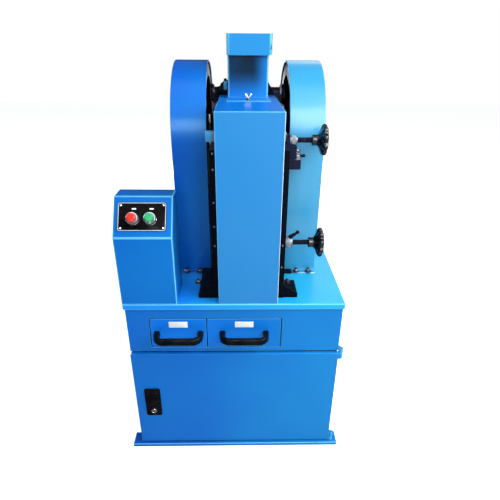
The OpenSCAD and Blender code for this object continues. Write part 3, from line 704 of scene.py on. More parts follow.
def soften(piece, width, steps=2, limit=28):
    """Rounds a piece's edges, as folding, casting and paint do."""
    bevel = piece.modifiers.new("rounded edges", "BEVEL")
    bevel.width = width
    bevel.segments = steps
    bevel.limit_method = "ANGLE"
    bevel.angle_limit = math.radians(limit)
    bevel.miter_outer = "MITER_ARC"
    even = piece.modifiers.new("even shading", "WEIGHTED_NORMAL")
    even.keep_sharp = True
    return settle(piece, 60)


def place_on(piece, body, slot, *nodes):
    """Lets a finished piece ride on a body in place of the CAD nodes it covers; slot is not used."""
    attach(piece, body)
    if nodes:
        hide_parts(*nodes)
    return piece


def width_across(face, edge):
    """How far a face reaches from one of its edges."""
    start = edge.verts[0].co
    along = (edge.verts[1].co - start).normalized()
    return max(((v.co - start) - along * (v.co - start).dot(along)).length for v in face.verts)


def fold_edges(work, radius):
    """The outer edges between two broad faces, where a sheet is folded."""
    found = []
    for edge in work.edges:
        if len(edge.link_faces) != 2 or edge.calc_length() < 3 * radius:
            continue
        if not edge.is_convex or edge.calc_face_angle() < math.radians(25):
            continue
        if min(width_across(face, edge) for face in edge.link_faces) > 3.5 * radius:
            found.append(edge)
    return found


def narrow(face):
    """Whether a face is hardly wider than a cut sheet is thick."""
    return min(width_across(face, edge) for edge in face.edges) < 1.4 * SHEET


def keep_broad_faces_flat(piece):
    """Lets only the narrow faces along folds and rims look round."""
    mesh = piece.data
    bent = mesh.attributes.get("custom_normal")
    if bent:
        mesh.attributes.remove(bent)
    work = bmesh.new()
    work.from_mesh(mesh)
    rims = {face for face in work.faces if narrow(face)}
    for edge in work.edges:
        if sum(face in rims for face in edge.link_faces) == 1:
            edge.smooth = False
    work.to_mesh(mesh)
    work.free()


def folded_copy(node, fold=3 * MM, lip=0.8 * MM, material=None, thin=0.7, cut=0.55,
                left=None, right=None):
    """The CAD piece with round folds and softened cut edges, riding where the CAD piece does.

    Thin and cut set how strong a painted highlight lies on its folds and on its cut edges. Left and
    right stand in for thin on the folds that face that way; below zero they give painted shade.
    """
    work = bmesh.new()
    work.from_mesh(frame["nodes"][node].data)
    bmesh.ops.remove_doubles(work, verts=work.verts, dist=0.01 * MM)
    bmesh.ops.dissolve_limit(
        work, angle_limit=math.radians(0.5), verts=work.verts, edges=work.edges
    )
    layer = work.faces.layers.float.new(FOLD_LIGHT)
    for face in work.faces:
        # Painted highlight on the narrow cut edges
        face[layer] = cut if narrow(face) else 0.0
    if fold:
        made = bmesh.ops.bevel(
            work, geom=fold_edges(work, fold), offset=fold, offset_type="OFFSET", segments=4,
            profile=0.5, affect="EDGES", clamp_overlap=True, miter_outer="ARC",
        )
        work.normal_update()
        # Each new fold gets a painted highlight, and painted shade where its value is below zero
        for face in made["faces"]:
            side = face.normal.x * (1 - abs(face.normal.z))
            face[layer] = thin
            if right is not None and side > 0.2:
                face[layer] = right
            if left is not None and side < -0.2:
                face[layer] = left
    mesh = bpy.data.meshes.new(node)
    work.to_mesh(mesh)
    work.free()
    slot = SLOT_OF[node]
    piece = own_object(node + ".skin", mesh, material or FINISH_OF_SLOT[slot])
    soften(piece, lip, 2, 32)
    keep_broad_faces_flat(piece)
    return place_on(piece, BODY_OF[node], slot, node)


def mesh_from(name, points, faces):
    mesh = bpy.data.meshes.new(name)
    mesh.from_pydata([tuple(p) for p in points], [], faces)
    mesh.validate()
    return mesh


def outward(mesh):
    """Merges a closed mesh's doubles and turns its faces outwards."""
    work = bmesh.new()
    work.from_mesh(mesh)
    bmesh.ops.remove_doubles(work, verts=work.verts, dist=0.001 * MM)
    bmesh.ops.recalc_face_normals(work, faces=work.faces)
    work.to_mesh(mesh)
    work.free()
    return mesh


def ring_faces(rows, count, closed=False):
    """Quads between rings of points; a closed row of rings comes round, an open one has two caps."""
    def corner(row, step):
        return row % rows * count + step % count

    faces = [
        (corner(row, step), corner(row, step + 1), corner(row + 1, step + 1), corner(row + 1, step))
        for row in range(rows if closed else rows - 1) for step in range(count)
    ]
    if not closed:
        faces.append(tuple(reversed(range(count))))
        faces.append(tuple(corner(rows - 1, step) for step in range(count)))
    return faces


def ringed(name, points, rows, material, closed=False):
    """An object whose points lie in rings, one ring after another."""
    faces = ring_faces(rows, len(points) // rows, closed)
    return own_object(name, outward(mesh_from(name, points, faces)), material)


def block(name, low, high, material):
    """A box between two corners."""
    low, high = Vector(low), Vector(high)
    points = [
        (x, y, z) for x in (low.x, high.x) for y in (low.y, high.y) for z in (low.z, high.z)
    ]
    faces = [(0, 1, 3, 2), (4, 6, 7, 5), (0, 4, 5, 1), (2, 3, 7, 6), (0, 2, 6, 4), (1, 5, 7, 3)]
    return own_object(name, outward(mesh_from(name, points, faces)), material)


def slab(name, outline, low, high, material):
    """A flat piece with an outline on X and Y, between two heights."""
    points = [(x, y, z) for z in (low, high) for x, y in outline]
    return ringed(name, points, 2, material)


def turned(name, profile, around, material, place=None, sharp=40, lobes=None):
    """A shape of revolution about Z from (radius, height) pairs, moved to a place.

    Lobes hold their number, their depth and, for each pair, the share of that depth.
    """
    count, depth, shares = lobes or (0, 0.0, [0] * len(profile))
    points = []
    for (radius, height), share in zip(profile, shares):
        for step in range(around):
            angle = 2 * math.pi * step / around
            dip = depth * share * (0.5 - 0.5 * math.cos(count * angle)) ** 1.4
            points.append(((radius - dip) * math.cos(angle), (radius - dip) * math.sin(angle), height))
    piece = ringed(name, points, len(profile), material)
    if place is not None:
        piece.data.transform(place)
    return settle(piece, sharp)


def rounded_outline(width, height, radius, steps=6):
    """Points of a rectangle with round corners, centred, counter-clockwise."""
    points = []
    for turn, (sx, sy) in enumerate(((1, 1), (-1, 1), (-1, -1), (1, -1))):
        for step in range(steps + 1):
            angle = math.radians(90 * turn + 90 * step / steps)
            points.append((
                sx * (width / 2 - radius) + radius * math.cos(angle),
                sy * (height / 2 - radius) + radius * math.sin(angle),
            ))
    return points


def merged(name, parts):
    """One object in place of several, each part with the material it has already."""
    work = bmesh.new()
    materials = []
    for part in parts:
        start = len(work.faces)
        work.from_mesh(part.data)
        work.faces.ensure_lookup_table()
        own = part.data.materials[0]
        if own not in materials:
            materials.append(own)
        for face in work.faces[start:]:
            face.material_index = materials.index(own)
        bpy.data.objects.remove(part)
    whole = bpy.data.meshes.new(name)
    work.to_mesh(whole)
    work.free()
    for own in materials:
        whole.materials.append(own)
    return own_object(name, whole, None)


# ------------------------------------------------------------------ repeated hardware

def geometry_tree(name, inputs):
    """A tree that gets points and a material, with named inputs for its sizes."""
    return new_group(
        name,
        [("Geometry", "NodeSocketGeometry", None)] + inputs
        + [("Material", "NodeSocketMaterial", None)],
        [("Geometry", "NodeSocketGeometry")],
        "GeometryNodeTree",
    )


def lifted(sheet, geometry, height):
    """A shape raised along Z."""
    up = sheet.fed("ShaderNodeCombineXYZ", Z=height)
    node = sheet.fed("GeometryNodeTransform", Geometry=geometry, Translation=up.outputs[0])
    return node.outputs[0]


def together(sheet, *shapes):
    """Several shapes as one."""
    parts = sheet.add("GeometryNodeJoinGeometry")
    for shape in shapes:
        sheet.join(shape, parts.inputs[0])
    return parts.outputs[0]


def set_on_points(sheet, given, out, shape):
    """Ends a tree: the shape stands on each point, turned by that point's own rotation."""
    turn = sheet.add("GeometryNodeInputNamedAttribute", data_type="FLOAT_VECTOR")
    turn.inputs["Name"].default_value = TURN
    angles = sheet.add("FunctionNodeEulerToRotation")
    sheet.join(turn.outputs["Attribute"], angles.inputs[0])
    placed = sheet.fed("GeometryNodeInstanceOnPoints", Points=given["Geometry"], Instance=shape,
                       Rotation=angles.outputs[0])
    realized = sheet.fed("GeometryNodeRealizeInstances", Geometry=placed.outputs[0])
    dressed = sheet.fed("GeometryNodeSetMaterial", Geometry=realized.outputs[0],
                        Material=given["Material"])
    sheet.join(dressed.outputs[0], out["Geometry"])
    return sheet.tree


def hex_bolt_tree():
    """Hexagon heads with a chamfered crown on a washer, and a thread's end that may stand out."""
    sheet, given, out = geometry_tree("hex bolts", [
        ("Across Flats", FLOAT, 0.017), ("Head Height", FLOAT, 0.008),
        ("Washer Diameter", FLOAT, 0.024), ("Washer Thickness", FLOAT, 0.002),
        ("Thread Diameter", FLOAT, 0.0), ("Thread Height", FLOAT, 0.0),
    ])
    seat = given["Washer Thickness"]
    corner = sheet.times(given["Across Flats"], 0.5 / math.cos(math.pi / 6))
    crown_height = sheet.times(given["Head Height"], 0.18)
    body_height = sheet.math("SUBTRACT", given["Head Height"], crown_height)
    stud_height = sheet.plus(given["Thread Height"], given["Head Height"])
    washer = sheet.fed("GeometryNodeMeshCylinder", Vertices=32, Depth=seat,
                       Radius=sheet.times(given["Washer Diameter"], 0.5))
    head = sheet.fed("GeometryNodeMeshCylinder", Vertices=6, Depth=body_height, Radius=corner)
    crown = sheet.fed("GeometryNodeMeshCone", Vertices=6, Depth=crown_height, Radius_Bottom=corner,
                      Radius_Top=sheet.times(corner, 0.86))
    stud = sheet.fed("GeometryNodeMeshCylinder", Vertices=20, Depth=stud_height,
                     Radius=sheet.times(given["Thread Diameter"], 0.5))
    heights = (
        (washer, sheet.times(seat, 0.5)),
        (head, sheet.plus(seat, sheet.times(body_height, 0.5))),
        (crown, sheet.plus(seat, body_height)),
        (stud, sheet.times(stud_height, 0.5)),
    )
    shapes = [lifted(sheet, shape.outputs["Mesh"], height) for shape, height in heights]
    return set_on_points(sheet, given, out, together(sheet, *shapes))


def slotted_screw_tree():
    """Low round heads with one slot across."""
    sheet, given, out = geometry_tree("slotted screws", [
        ("Head Diameter", FLOAT, 0.008), ("Head Height", FLOAT, 0.0025),
        ("Slot Width", FLOAT, 0.0012),
    ])
    radius = sheet.times(given["Head Diameter"], 0.5)
    dome = sheet.fed("GeometryNodeMeshUVSphere", Segments=28, Rings=14, Radius=radius)
    flatness = sheet.math("DIVIDE", given["Head Height"], radius)
    squash = sheet.fed("ShaderNodeCombineXYZ", X=1, Y=1, Z=flatness)
    head = sheet.fed("GeometryNodeTransform", Geometry=dome.outputs["Mesh"],
                     Scale=squash.outputs[0])
    size = sheet.fed("ShaderNodeCombineXYZ", X=sheet.times(given["Head Diameter"], 1.2),
                     Y=given["Slot Width"], Z=given["Head Height"])
    slot = sheet.fed("GeometryNodeMeshCube", Size=size.outputs[0])
    cut = sheet.add("GeometryNodeMeshBoolean", operation="DIFFERENCE")
    sheet.join(head.outputs[0], cut.inputs["Mesh 1"])
    sheet.join(lifted(sheet, slot.outputs["Mesh"], given["Head Height"]), cut.inputs["Mesh 2"])
    return set_on_points(sheet, given, out, cut.outputs["Mesh"])


def thread_tree():
    """A screw's core with a ridge wound round it, from each point along its axis."""
    sheet, given, out = geometry_tree("screw thread", [
        ("Diameter", FLOAT, 0.014), ("Pitch", FLOAT, 0.002), ("Length", FLOAT, 0.04),
        ("Depth", FLOAT, 0.0012),
    ])
    long, depth = given["Length"], given["Depth"]
    radius = sheet.math("SUBTRACT", sheet.times(given["Diameter"], 0.5), sheet.times(depth, 0.5))
    wound = sheet.fed("GeometryNodeCurveSpiral", Resolution=28, Height=long, Start_Radius=radius,
                      End_Radius=radius, Rotations=sheet.math("DIVIDE", long, given["Pitch"]))
    rib = sheet.fed("GeometryNodeCurvePrimitiveCircle", Resolution=4,
                    Radius=sheet.times(depth, 0.55))
    ridge = sheet.fed("GeometryNodeCurveToMesh", Curve=wound.outputs[0],
                      Profile_Curve=rib.outputs[0], Fill_Caps=True)
    core = sheet.fed("GeometryNodeMeshCylinder", Vertices=40, Depth=long,
                     Radius=sheet.math("SUBTRACT", radius, sheet.times(depth, 0.1)))
    middle = lifted(sheet, core.outputs["Mesh"], sheet.times(long, 0.5))
    return set_on_points(sheet, given, out, together(sheet, ridge.outputs[0], middle))


def ribs_round_tree():
    """Upright ribs round a ring, as on a knurled collar."""
    sheet, given, out = geometry_tree("ribs round a ring", [
        ("Radius", FLOAT, 0.015), ("Height", FLOAT, 0.006), ("Rib Width", FLOAT, 0.001),
        ("Count", "NodeSocketInt", 36),
    ])
    ring = sheet.fed("GeometryNodeMeshCircle", Vertices=given["Count"], Radius=given["Radius"])
    rib = sheet.fed("GeometryNodeMeshCylinder", Vertices=8, Depth=given["Height"],
                    Radius=sheet.times(given["Rib Width"], 0.5))
    ribs = sheet.fed("GeometryNodeInstanceOnPoints", Points=ring.outputs["Mesh"],
                     Instance=rib.outputs["Mesh"])
    return set_on_points(sheet, given, out, ribs.outputs[0])


TREES = {
    "bolt": hex_bolt_tree(),
    "screw": slotted_screw_tree(),
    "thread": thread_tree(),
    "ribs": ribs_round_tree(),
}


def point_cloud(name, places):
    """A mesh of loose points; places hold (point, axis, spin)."""
    mesh = bpy.data.meshes.new(name)
    mesh.from_pydata([tuple(point) for point, _, _ in places], [], [])
    turn = mesh.attributes.new(TURN, "FLOAT_VECTOR", "POINT")
    for item, (_, axis, spin) in zip(turn.data, places):
        item.vector = facing(Vector(axis), spin).to_euler()
    return mesh


def grown(name, tree, places, material, **values):
    """Runs a hardware tree on points and keeps the plain mesh."""
    carrier = own_object(name, point_cloud(name, places), None)
    pattern = carrier.modifiers.new("pattern", "NODES")
    pattern.node_group = TREES[tree]
    values["Material"] = material
    for item in TREES[tree].interface.items_tree:
        if item.in_out == "INPUT" and item.name.replace(" ", "_") in values:
            pattern[item.identifier] = values[item.name.replace(" ", "_")]
    return settle(carrier, 30)


def fit_bolts(name, places, material, slot, flats, head, washer, seat, thread=0, stud=0):
    """Bolts or nuts on the stand, with their sizes in millimetres.

    Flats is the width across the flats, head the head's height, washer and seat the washer's
    diameter and thickness, thread and stud the diameter and height of a thread that stands out.
    """
    piece = grown(name, "bolt", places, material, Across_Flats=flats * MM, Head_Height=head * MM,
                  Washer_Diameter=washer * MM, Washer_Thickness=seat * MM,
                  Thread_Diameter=thread * MM, Thread_Height=stud * MM)
    return place_on(piece, "stand", slot)


# ------------------------------------------------------------------ cabinet

def dress_cabinet():
    """Folded door, table top, feet, walls and drawers."""
    folded_copy("cabinet_door", 4 * MM, 1 * MM)
    # The table, feet and drawers take copies of the enamel with their light and shade painted in
    folded_copy("table_top", 3 * MM, 1 * MM, TABLE_LIT_AND_SHADED_BLUE)
    folded_copy("foot_bars", 2 * MM, material=FOOT_SHADED_BLUE)
    for node in ("left_wall", "right_wall", "back_wall", "drawer_panel"):
        folded_copy(node, 2 * MM)
    for node in ("left_drawer", "right_drawer"):
        folded_copy(node, 0.9 * MM, material=DRAWER_LIT_BLUE)
    for node in ("hinge_pivots", "door_knuckles"):
        folded_copy(node, 0)


def dress_door_lock():
    """Black paddle lock: a plate, a raised rim with the paddle in it, and a key barrel below."""
    low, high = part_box("door_lock")
    middle = (low + high) / 2
    width, height = high.x - low.x, high.z - low.z
    paddle_up, barrel_down = height * 0.17, height * 0.31
    parts = []
    for name, inset, share, corner, foot, top, edge, steps, rise in (
        ("lock_plate", 0, 1, 6, 0, 4.5, 1.2, 3, 0),
        ("lock_rim", 9, 0.56, 4, 4, 6.5, 1, 2, paddle_up),
        ("lock_paddle", 16, 0.46, 3, 6, 9, 1.5, 3, paddle_up),
    ):
        outline = rounded_outline(width - inset * MM, height * share, corner * MM)
        part = soften(slab(name, outline, foot * MM, top * MM, PLASTIC), edge * MM, steps)
        part.data.transform(shift(0, rise, 0))
        parts.append(part)
    barrel = turned("key_barrel", [
        (0.0085, 0.004), (0.0085, 0.0068), (0.0078, 0.0076), (0.0062, 0.0076),
        (0.0058, 0.0070), (0.0012, 0.0070),
    ], 40, CHROME)
    slit = settle(block("key_slit", (-0.0008, -0.0038, 0.0068), (0.0008, 0.0038, 0.00715), PLASTIC))
    for part in (barrel, slit):
        part.data.transform(shift(0, -barrel_down, 0))
    whole = merged("door_lock.skin", parts + [barrel, slit])
    whole.data.transform(shift(middle.x, high.y, middle.z) @ UPRIGHT)
    place_on(whole, "door", "black_plastic", "door_lock")


def bridge_handle(node):
    """Moulded bridge handle: a rounded bar bent back to two feet."""
    low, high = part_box(node)
    middle = (low + high) / 2
    deep, tall = 14 * MM, high.z - low.z
    bend, bend_steps, roundness = 15 * MM, 8, 0.4
    leg = (high.x - low.x - deep) / 2
    grip = high.y - low.y - deep / 2
    path = [(leg, 0), (leg, bend - grip)]
    for step in range(1, bend_steps):
        share = step / bend_steps
        angle = math.radians(90 * share)
        across = roundness * math.cos(angle) + (1 - roundness) * (1 - share)
        ahead = roundness * math.sin(angle) + (1 - roundness) * share
        path.append((leg - bend + bend * across, bend - grip - bend * ahead))
    path.append((leg - bend, -grip))
    path += [(-x, y) for x, y in reversed(path)]
    section = rounded_outline(deep, tall, 5.2 * MM, 5)
    points = []
    for index, (x, y) in enumerate(path):
        before = Vector(path[max(index - 1, 0)])
        after = Vector(path[min(index + 1, len(path) - 1)])
        along = (after - before).normalized()
        foot = 1.22 if index in (0, len(path) - 1) else 1.0
        for out, up in section:
            points.append((x - along.y * out * foot, y + along.x * out * foot, up * foot ** 0.5))
    piece = settle(ringed(node + ".skin", points, len(path), PLASTIC), 40)
    piece.data.transform(shift(middle.x, high.y, middle.z))
    place_on(piece, BODY_OF[node], "black_plastic", node)


def drawer_labels():
    """Blank card labels above the handles."""
    card_w, card_h, card_t, card_up = 52 * MM, 19 * MM, 0.8 * MM, 22 * MM
    for side in ("left", "right"):
        low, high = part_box(side + "_handle")
        outline = rounded_outline(card_w, card_h, 1 * MM, 3)
        card = soften(slab(side + "_label", outline, 0, card_t, CARD), 0.25 * MM)
        card.data.transform(shift((low.x + high.x) / 2, high.y, high.z + card_up) @ UPRIGHT)
        place_on(card, BODY_OF[side + "_handle"], "light_steel")


# ------------------------------------------------------------------ control box

def slope_place():
    """The frame on the button plate: X right, Y up the slope, Z out of it."""
    low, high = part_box("button_plate")
    out = -Vector(JOINTS["stop_press"]["axis"]).normalized()
    place = Matrix((X, out.cross(X), out)).transposed().to_4x4()
    place.translation = (low + high) / 2
    return place


def dress_control_box():
    """Folded box with its black plate: a pale rim, four screws, two tags and the buttons."""
    folded_copy("control_box", 3 * MM, material=BOX_BLUE)
    slope = slope_place()
    low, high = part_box("button_plate")
    plate_t, corner = 3 * MM, 7 * MM
    face = plate_t / 2
    width = high.x - low.x
    rise = (high.z - low.z - plate_t * abs(slope.col[2].z)) / slope.col[1].z

    outline = rounded_outline(width, rise, corner)
    plate = slab("button_plate.skin", outline, -face, face - 0.2 * MM, PANEL)
    soften(plate, 0.6 * MM)
    margin, rim_w, rim_top = 1.2 * MM, 2 * MM, face + 0.4 * MM
    points = []
    for inset, height in (
        (margin, 0), (margin, rim_top), (margin + rim_w, rim_top), (margin + rim_w, 0),
    ):
        ring = rounded_outline(width - 2 * inset, rise - 2 * inset, corner - inset)
        points += [(x, y, height) for x, y in ring]
    rim = soften(ringed("button_plate_rim", points, 4, RIM_PALE, closed=True), 0.5 * MM)
    for part in (plate, rim):
        part.data.transform(slope)
    place_on(plate, "stand", "black_plate", "button_plate")
    place_on(rim, "stand", "chrome")

    screw_x, screw_y = width / 2 - 8 * MM, rise / 2 - 8 * MM
    places = [((sx * screw_x, sy * screw_y, face), Z, math.radians(spin))
              for sx, sy, spin in ((-1, -1, 20), (1, -1, 75), (1, 1, 130), (-1, 1, 48))]
    screws = grown("plate_screws", "screw", places, CHROME,
                   Head_Diameter=6.5 * MM, Head_Height=1.8 * MM, Slot_Width=1.1 * MM)
    screws.data.transform(slope)
    place_on(screws, "stand", "chrome")

    tags = []
    tag_right, tag_up = 2 * MM, 27 * MM
    for node in ("red_button", "green_button"):
        at = slope.inverted() @ button_centre(node)
        tag = slab("tag", rounded_outline(10.5 * MM, 4 * MM, 0.8 * MM, 3), 0, 0.6 * MM, CARD)
        tag.data.transform(shift(at.x + tag_right, at.y + tag_up, face - 0.2 * MM))
        tags.append(tag)
    cards = settle(merged("button_tags", tags), 30)
    cards.data.transform(slope)
    place_on(cards, "stand", "light_steel")
    dress_buttons(Vector(slope.col[2][:3]))


def button_centre(node):
    """The middle of a button's foot on the plate."""
    low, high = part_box(node)
    ring_low, ring_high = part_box("button_bezels")
    ring = (ring_low + ring_high) / 2
    return Vector(((low.x + high.x) / 2, ring.y, ring.z))


def dress_buttons(out):
    """Red and green caps in chrome bezels with ribbed collars, looking out of the slope."""
    bezel_h = 16 * MM
    bezels = []
    ribs = []
    for node, material, body, slot in (
        ("red_button", RED, "stop_button", "red_plastic"),
        ("green_button", GREEN, "start_button", "green_plastic"),
    ):
        foot = button_centre(node) - out * bezel_h / 2
        place = Matrix.Translation(foot) @ facing(out)
        bezels.append(turned("bezel", [
            (0.0108, 0.0002), (0.0155, 0.0002), (0.0155, 0.0030), (0.0148, 0.0036),
            (0.0148, 0.0105), (0.0154, 0.0112), (0.0154, 0.0148), (0.0148, 0.0158),
            (0.0124, 0.0160), (0.0114, 0.0152), (0.0111, 0.0100),
        ], 64, CHROME, place, 30))
        ribs.append((foot + out * 7 * MM, out, 0.0))
        cap = turned(node + ".skin", [
            (0.0085, -0.0100), (0.0085, 0.0090), (0.0104, 0.0092), (0.0106, 0.0100),
            (0.0106, 0.0255), (0.0104, 0.0268), (0.0097, 0.0276), (0.0080, 0.0280),
            (0.0045, 0.0282), (0.0010, 0.0283),
        ], 56, material, place)
        place_on(cap, body, slot, node)
    rings = settle(merged("button_bezels.skin", bezels), 30)
    place_on(rings, "stand", "chrome", "button_bezels")
    knurl = grown("bezel_ribs", "ribs", ribs, CHROME,
                  Radius=14.7 * MM, Height=6.6 * MM, Rib_Width=1.2 * MM, Count=40)
    place_on(knurl, "stand", "chrome")


# ------------------------------------------------------------------ crusher

def dress_covers():
    """Front cover, feed neck with its mouth, and the two guards, each in its own copy of the blue
    enamel with its light and shade painted in.
    """
    # The cover's right-facing folds get a near-white painted highlight, the neck's left-facing folds
    # get painted shade, and the guards' cut edges get a painted highlight that is bright on the right
    # guard and faint on the left
    folded_copy("front_cover", 3 * MM, material=COVER_LIT_AND_SHADED_BLUE, right=0.97)
    folded_copy("hopper_neck", 2 * MM, 0.7 * MM, NECK_SHADED_BLUE, thin=0.6, left=-0.8)
    folded_copy("hopper_mouth", 2 * MM, 1 * MM, MOUTH_BLUE, thin=0.6)
    folded_copy("left_guard", 0, 1 * MM, LEFT_GUARD_SHADED_BLUE, cut=0.25)
    folded_copy("right_guard", 0, 1 * MM, RIGHT_GUARD_LIT_BLUE, cut=0.95)


def dress_frame():
    """Black frame of the crusher with its cross bar, clamp bracket, jaw head and small lug."""
    for node in ("left_side_plate", "right_side_plate", "back_plate", "crusher_feet", "cross_bar"):
        folded_copy(node, 0, 1.5 * MM)
    folded_copy("clamp_bracket", 0, 1.5 * MM, CLAMP_BLACK)
    folded_copy("jaw_head", 6 * MM, 1 * MM)
    bar_end()
    cover_lug()


def bar_end():
    """Painted end of the cross bar, outside the left side plate."""
    low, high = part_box("cross_bar")
    skin, shown = 0.5 * MM, 19 * MM
    piece = block("bar_end", (low.x - skin, low.y - skin, low.z - skin),
                  (low.x + shown, high.y + skin, high.z + skin), BAR_BLUE)
    soften(piece, 1.6 * MM, 3)
    place_on(piece, "stand", "blue_paint")


def cover_lug():
    """Blue lug on a black root, left of the neck, with a screw in its top and a brace beside it."""
    neck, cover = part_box("hopper_neck"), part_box("front_cover")
    wide, deep, gap = 11 * MM, 13 * MM, 0.6 * MM
    root_h, tall = 14 * MM, 37.5 * MM
    right, back, foot = neck[0].x - gap, cover[1].y - gap, cover[1].z
    root = block("lug_root", (right - wide - 2 * MM, back - deep, foot),
                 (right, back, foot + root_h), BLACK)
    soften(root, 1.2 * MM)
    lug = block("lug", (right - wide, back - deep + 2 * MM, foot + root_h),
                (right, back - 1 * MM, foot + tall), BAR_BLUE)
    soften(lug, 1.6 * MM)
    place_on(merged("cover_lug", [root, lug]), "stand", "blue_paint")

    outline = [(x * MM, y * MM) for x, y in (
        (0, 0), (0, 40), (-2, 36), (-4, 33), (-8, 32), (-10, 25), (-20, 21), (-22, 0),
    )]
    brace = soften(slab("lug_brace", outline, -4 * MM, 4 * MM, BLACK), 0.8 * MM)
    brace.data.transform(shift(right - wide, back - deep / 2, foot) @ UPRIGHT)
    place_on(brace, "stand", "black_paint")
    top = (right - wide / 2, back - deep / 2, foot + tall)
    fit_bolts("lug_screw", [(top, Z, 0.2)], BLACK, "black_paint", 7.5, 6, 9, 1)


def frame_bolts():
    """Bolts and nuts that hold the guards, the cover, the frame and its feet."""
    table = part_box("table_top")[1].z
    guards = []
    for node, outside, shares in (
        ("left_guard", 0, (0.25, 0.64)), ("right_guard", 1, (0.61, 0.22)),
    ):
        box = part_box(node)
        outer, inner = box[outside].x, box[1 - outside].x
        for share in shares:
            x = outer + (inner - outer) * share
            guards.append(((x, box[0].y + 6 * MM, table + SHEET), Z, 0.4 * share))
    fit_bolts("guard_bolts", guards, DARK_STEEL, "dark_steel", 13, 7, 20, 2, 7, 7)

    foot_low, foot_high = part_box("crusher_feet")
    foot_t = 10 * MM
    anchors = [
        ((foot_low.x - 9 * MM, foot_low.y + 86 * MM, table), Z, 0.3),
        ((foot_high.x - 23 * MM, foot_low.y + 68 * MM, table + foot_t), Z, 0.7),
    ]
    fit_bolts("anchor_bolts", anchors, DARK_STEEL, "dark_steel", 13, 8, 18, 2, 8, 5)

    low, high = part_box("front_cover")
    side_z = high.z - 11 * MM
    sides = [((low.x, low.y + 181 * MM, side_z), -X, 0.5),
             ((high.x, low.y + 167 * MM, side_z), X, 0.5)]
    fit_bolts("cover_side_bolts", sides, DARK_STEEL, "dark_steel", 13, 8, 19, 2.5)

    left_low, left_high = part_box("left_side_plate")
    right_low, right_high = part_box("right_side_plate")
    screws = []
    for x, low, top, depths, spin in (
        (left_high.x - 8 * MM, left_low, left_high.z, (102, 140, 223, 287, 341), 0.2),
        (right_low.x + 9 * MM, right_low, right_high.z, (340, 404), 0.3),
    ):
        for depth in depths:
            z = top - depth * MM
            screws.append(((x, low.y, z), -Y, spin * z / MM))
    fit_bolts("frame_screws", screws, LIGHT_STEEL, "light_steel", 4, 3, 4.6, 0.8)


def axle_nuts():
    """Nuts with washers on both ends of the jaw's axle."""
    low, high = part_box("jaw_axle")
    y, z = (low.y + high.y) / 2, (low.z + high.z) / 2
    for side, x, axis, spin, steel in (
        ("left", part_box("left_side_plate")[0].x, -X, 0.2, AXLE_STEEL),
        ("right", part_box("right_side_plate")[1].x, X, 0.0, LIGHT_STEEL),
    ):
        fit_bolts(side + "_axle_nut", [((x, y, z), axis, spin)], steel, "light_steel",
                  34, 9, 48, 3, 20, 2)


def dress_wing_screw():
    """Wing screw in the cover's top: a hub with two rounded wings spread like a V."""
    low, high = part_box("wing_screw")
    centre = (low + high) / 2
    hub = turned("hub", [
        (0.0060, 0.0), (0.0062, 0.001), (0.0056, 0.0035), (0.0042, 0.0055), (0.0008, 0.0062),
    ], 32, DARK_STEEL)
    parts = [hub]
    wing_out, wing_up, spread = 4.6 * MM, 9.6 * MM, math.radians(31)
    for side in (-1, 1):
        outline = rounded_outline(6 * MM, 15 * MM, 2.9 * MM)
        wing = soften(slab("wing", outline, -1.8 * MM, 1.8 * MM, CHROME), 1.2 * MM, 3)
        lean = Matrix.Rotation(side * spread, 4, "Y")
        wing.data.transform(shift(side * wing_out, 0, wing_up) @ lean @ UPRIGHT)
        parts.append(wing)
    whole = merged("wing_screw.skin", parts)
    whole.data.transform(shift(centre.x, centre.y, low.z))
    place_on(whole, BODY_OF["wing_screw"], SLOT_OF["wing_screw"], "wing_screw")


def dress_clamp_stud():
    """Plated stud with a nut and a lock nut above it on the bracket's ledge."""
    low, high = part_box("clamp_bracket")
    ledge, lock_nut_up = low.z + 25 * MM, 15 * MM
    place = Vector((high.x - 9 * MM, (low.y + high.y) / 2 - 4 * MM, ledge))
    fit_bolts("clamp_nut", [(place, Z, 0.3)], LIGHT_STEEL, "light_steel", 17, 8, 23, 2.5, 10, 18)
    fit_bolts("clamp_lock_nut", [(place + Z * lock_nut_up, Z, 0.9)], CHROME, "chrome",
              14, 8, 15, 1.5)
    root = place + Vector((6 * MM, -3 * MM, 9 * MM))
    handle = turned("clamp_handle", [
        (0.0030, 0.0), (0.0032, 0.004), (0.0042, 0.010), (0.0040, 0.014), (0.0010, 0.0155),
    ], 28, PLASTIC, Matrix.Translation(root) @ facing(X))
    place_on(handle, "stand", "black_plastic")


def lock_lever():
    """Lever with a ball that locks the lower screw in its boss."""
    low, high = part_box("lower_boss")
    middle = (low + high) / 2
    root = Vector((middle.x + 3 * MM, middle.y - 3 * MM, high.z - 2 * MM))
    along = Vector((19 * MM, 0, 14 * MM))
    place = Matrix.Translation(root) @ facing(along.normalized())
    reach, ball_r, ball_up = along.length, 5 * MM, 3 * MM
    stem = turned("stem", [
        (0.0062, 0.0), (0.0062, 0.006), (0.0050, 0.009), (0.0034, reach),
    ], 32, THREAD_STEEL, place)
    arc = [math.radians(step) for step in range(8, 180, 12)]
    profile = [(ball_r * math.sin(a), reach - ball_r * math.cos(a) + ball_up) for a in arc]
    ball = turned("ball", profile, 32, PLASTIC, place, 60)
    place_on(merged("lock_lever", [stem, ball]), "stand", "dark_steel")


def dress_screw(spindle, knob, boss):
    """A hand screw: its threaded spindle, its lobed knob and the knurled boss it turns in."""
    low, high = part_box(spindle)
    start = Vector((low.x, (low.y + high.y) / 2, (low.z + high.z) / 2))
    thread = grown(spindle + ".skin", "thread", [(start, X, 0.0)], THREAD_STEEL,
                   Diameter=high.z - low.z, Pitch=2.2 * MM, Length=high.x - low.x, Depth=1.3 * MM)
    place_on(thread, BODY_OF[spindle], "dark_steel", spindle)
    hand_knob(knob, start)
    screw_boss(boss, start)


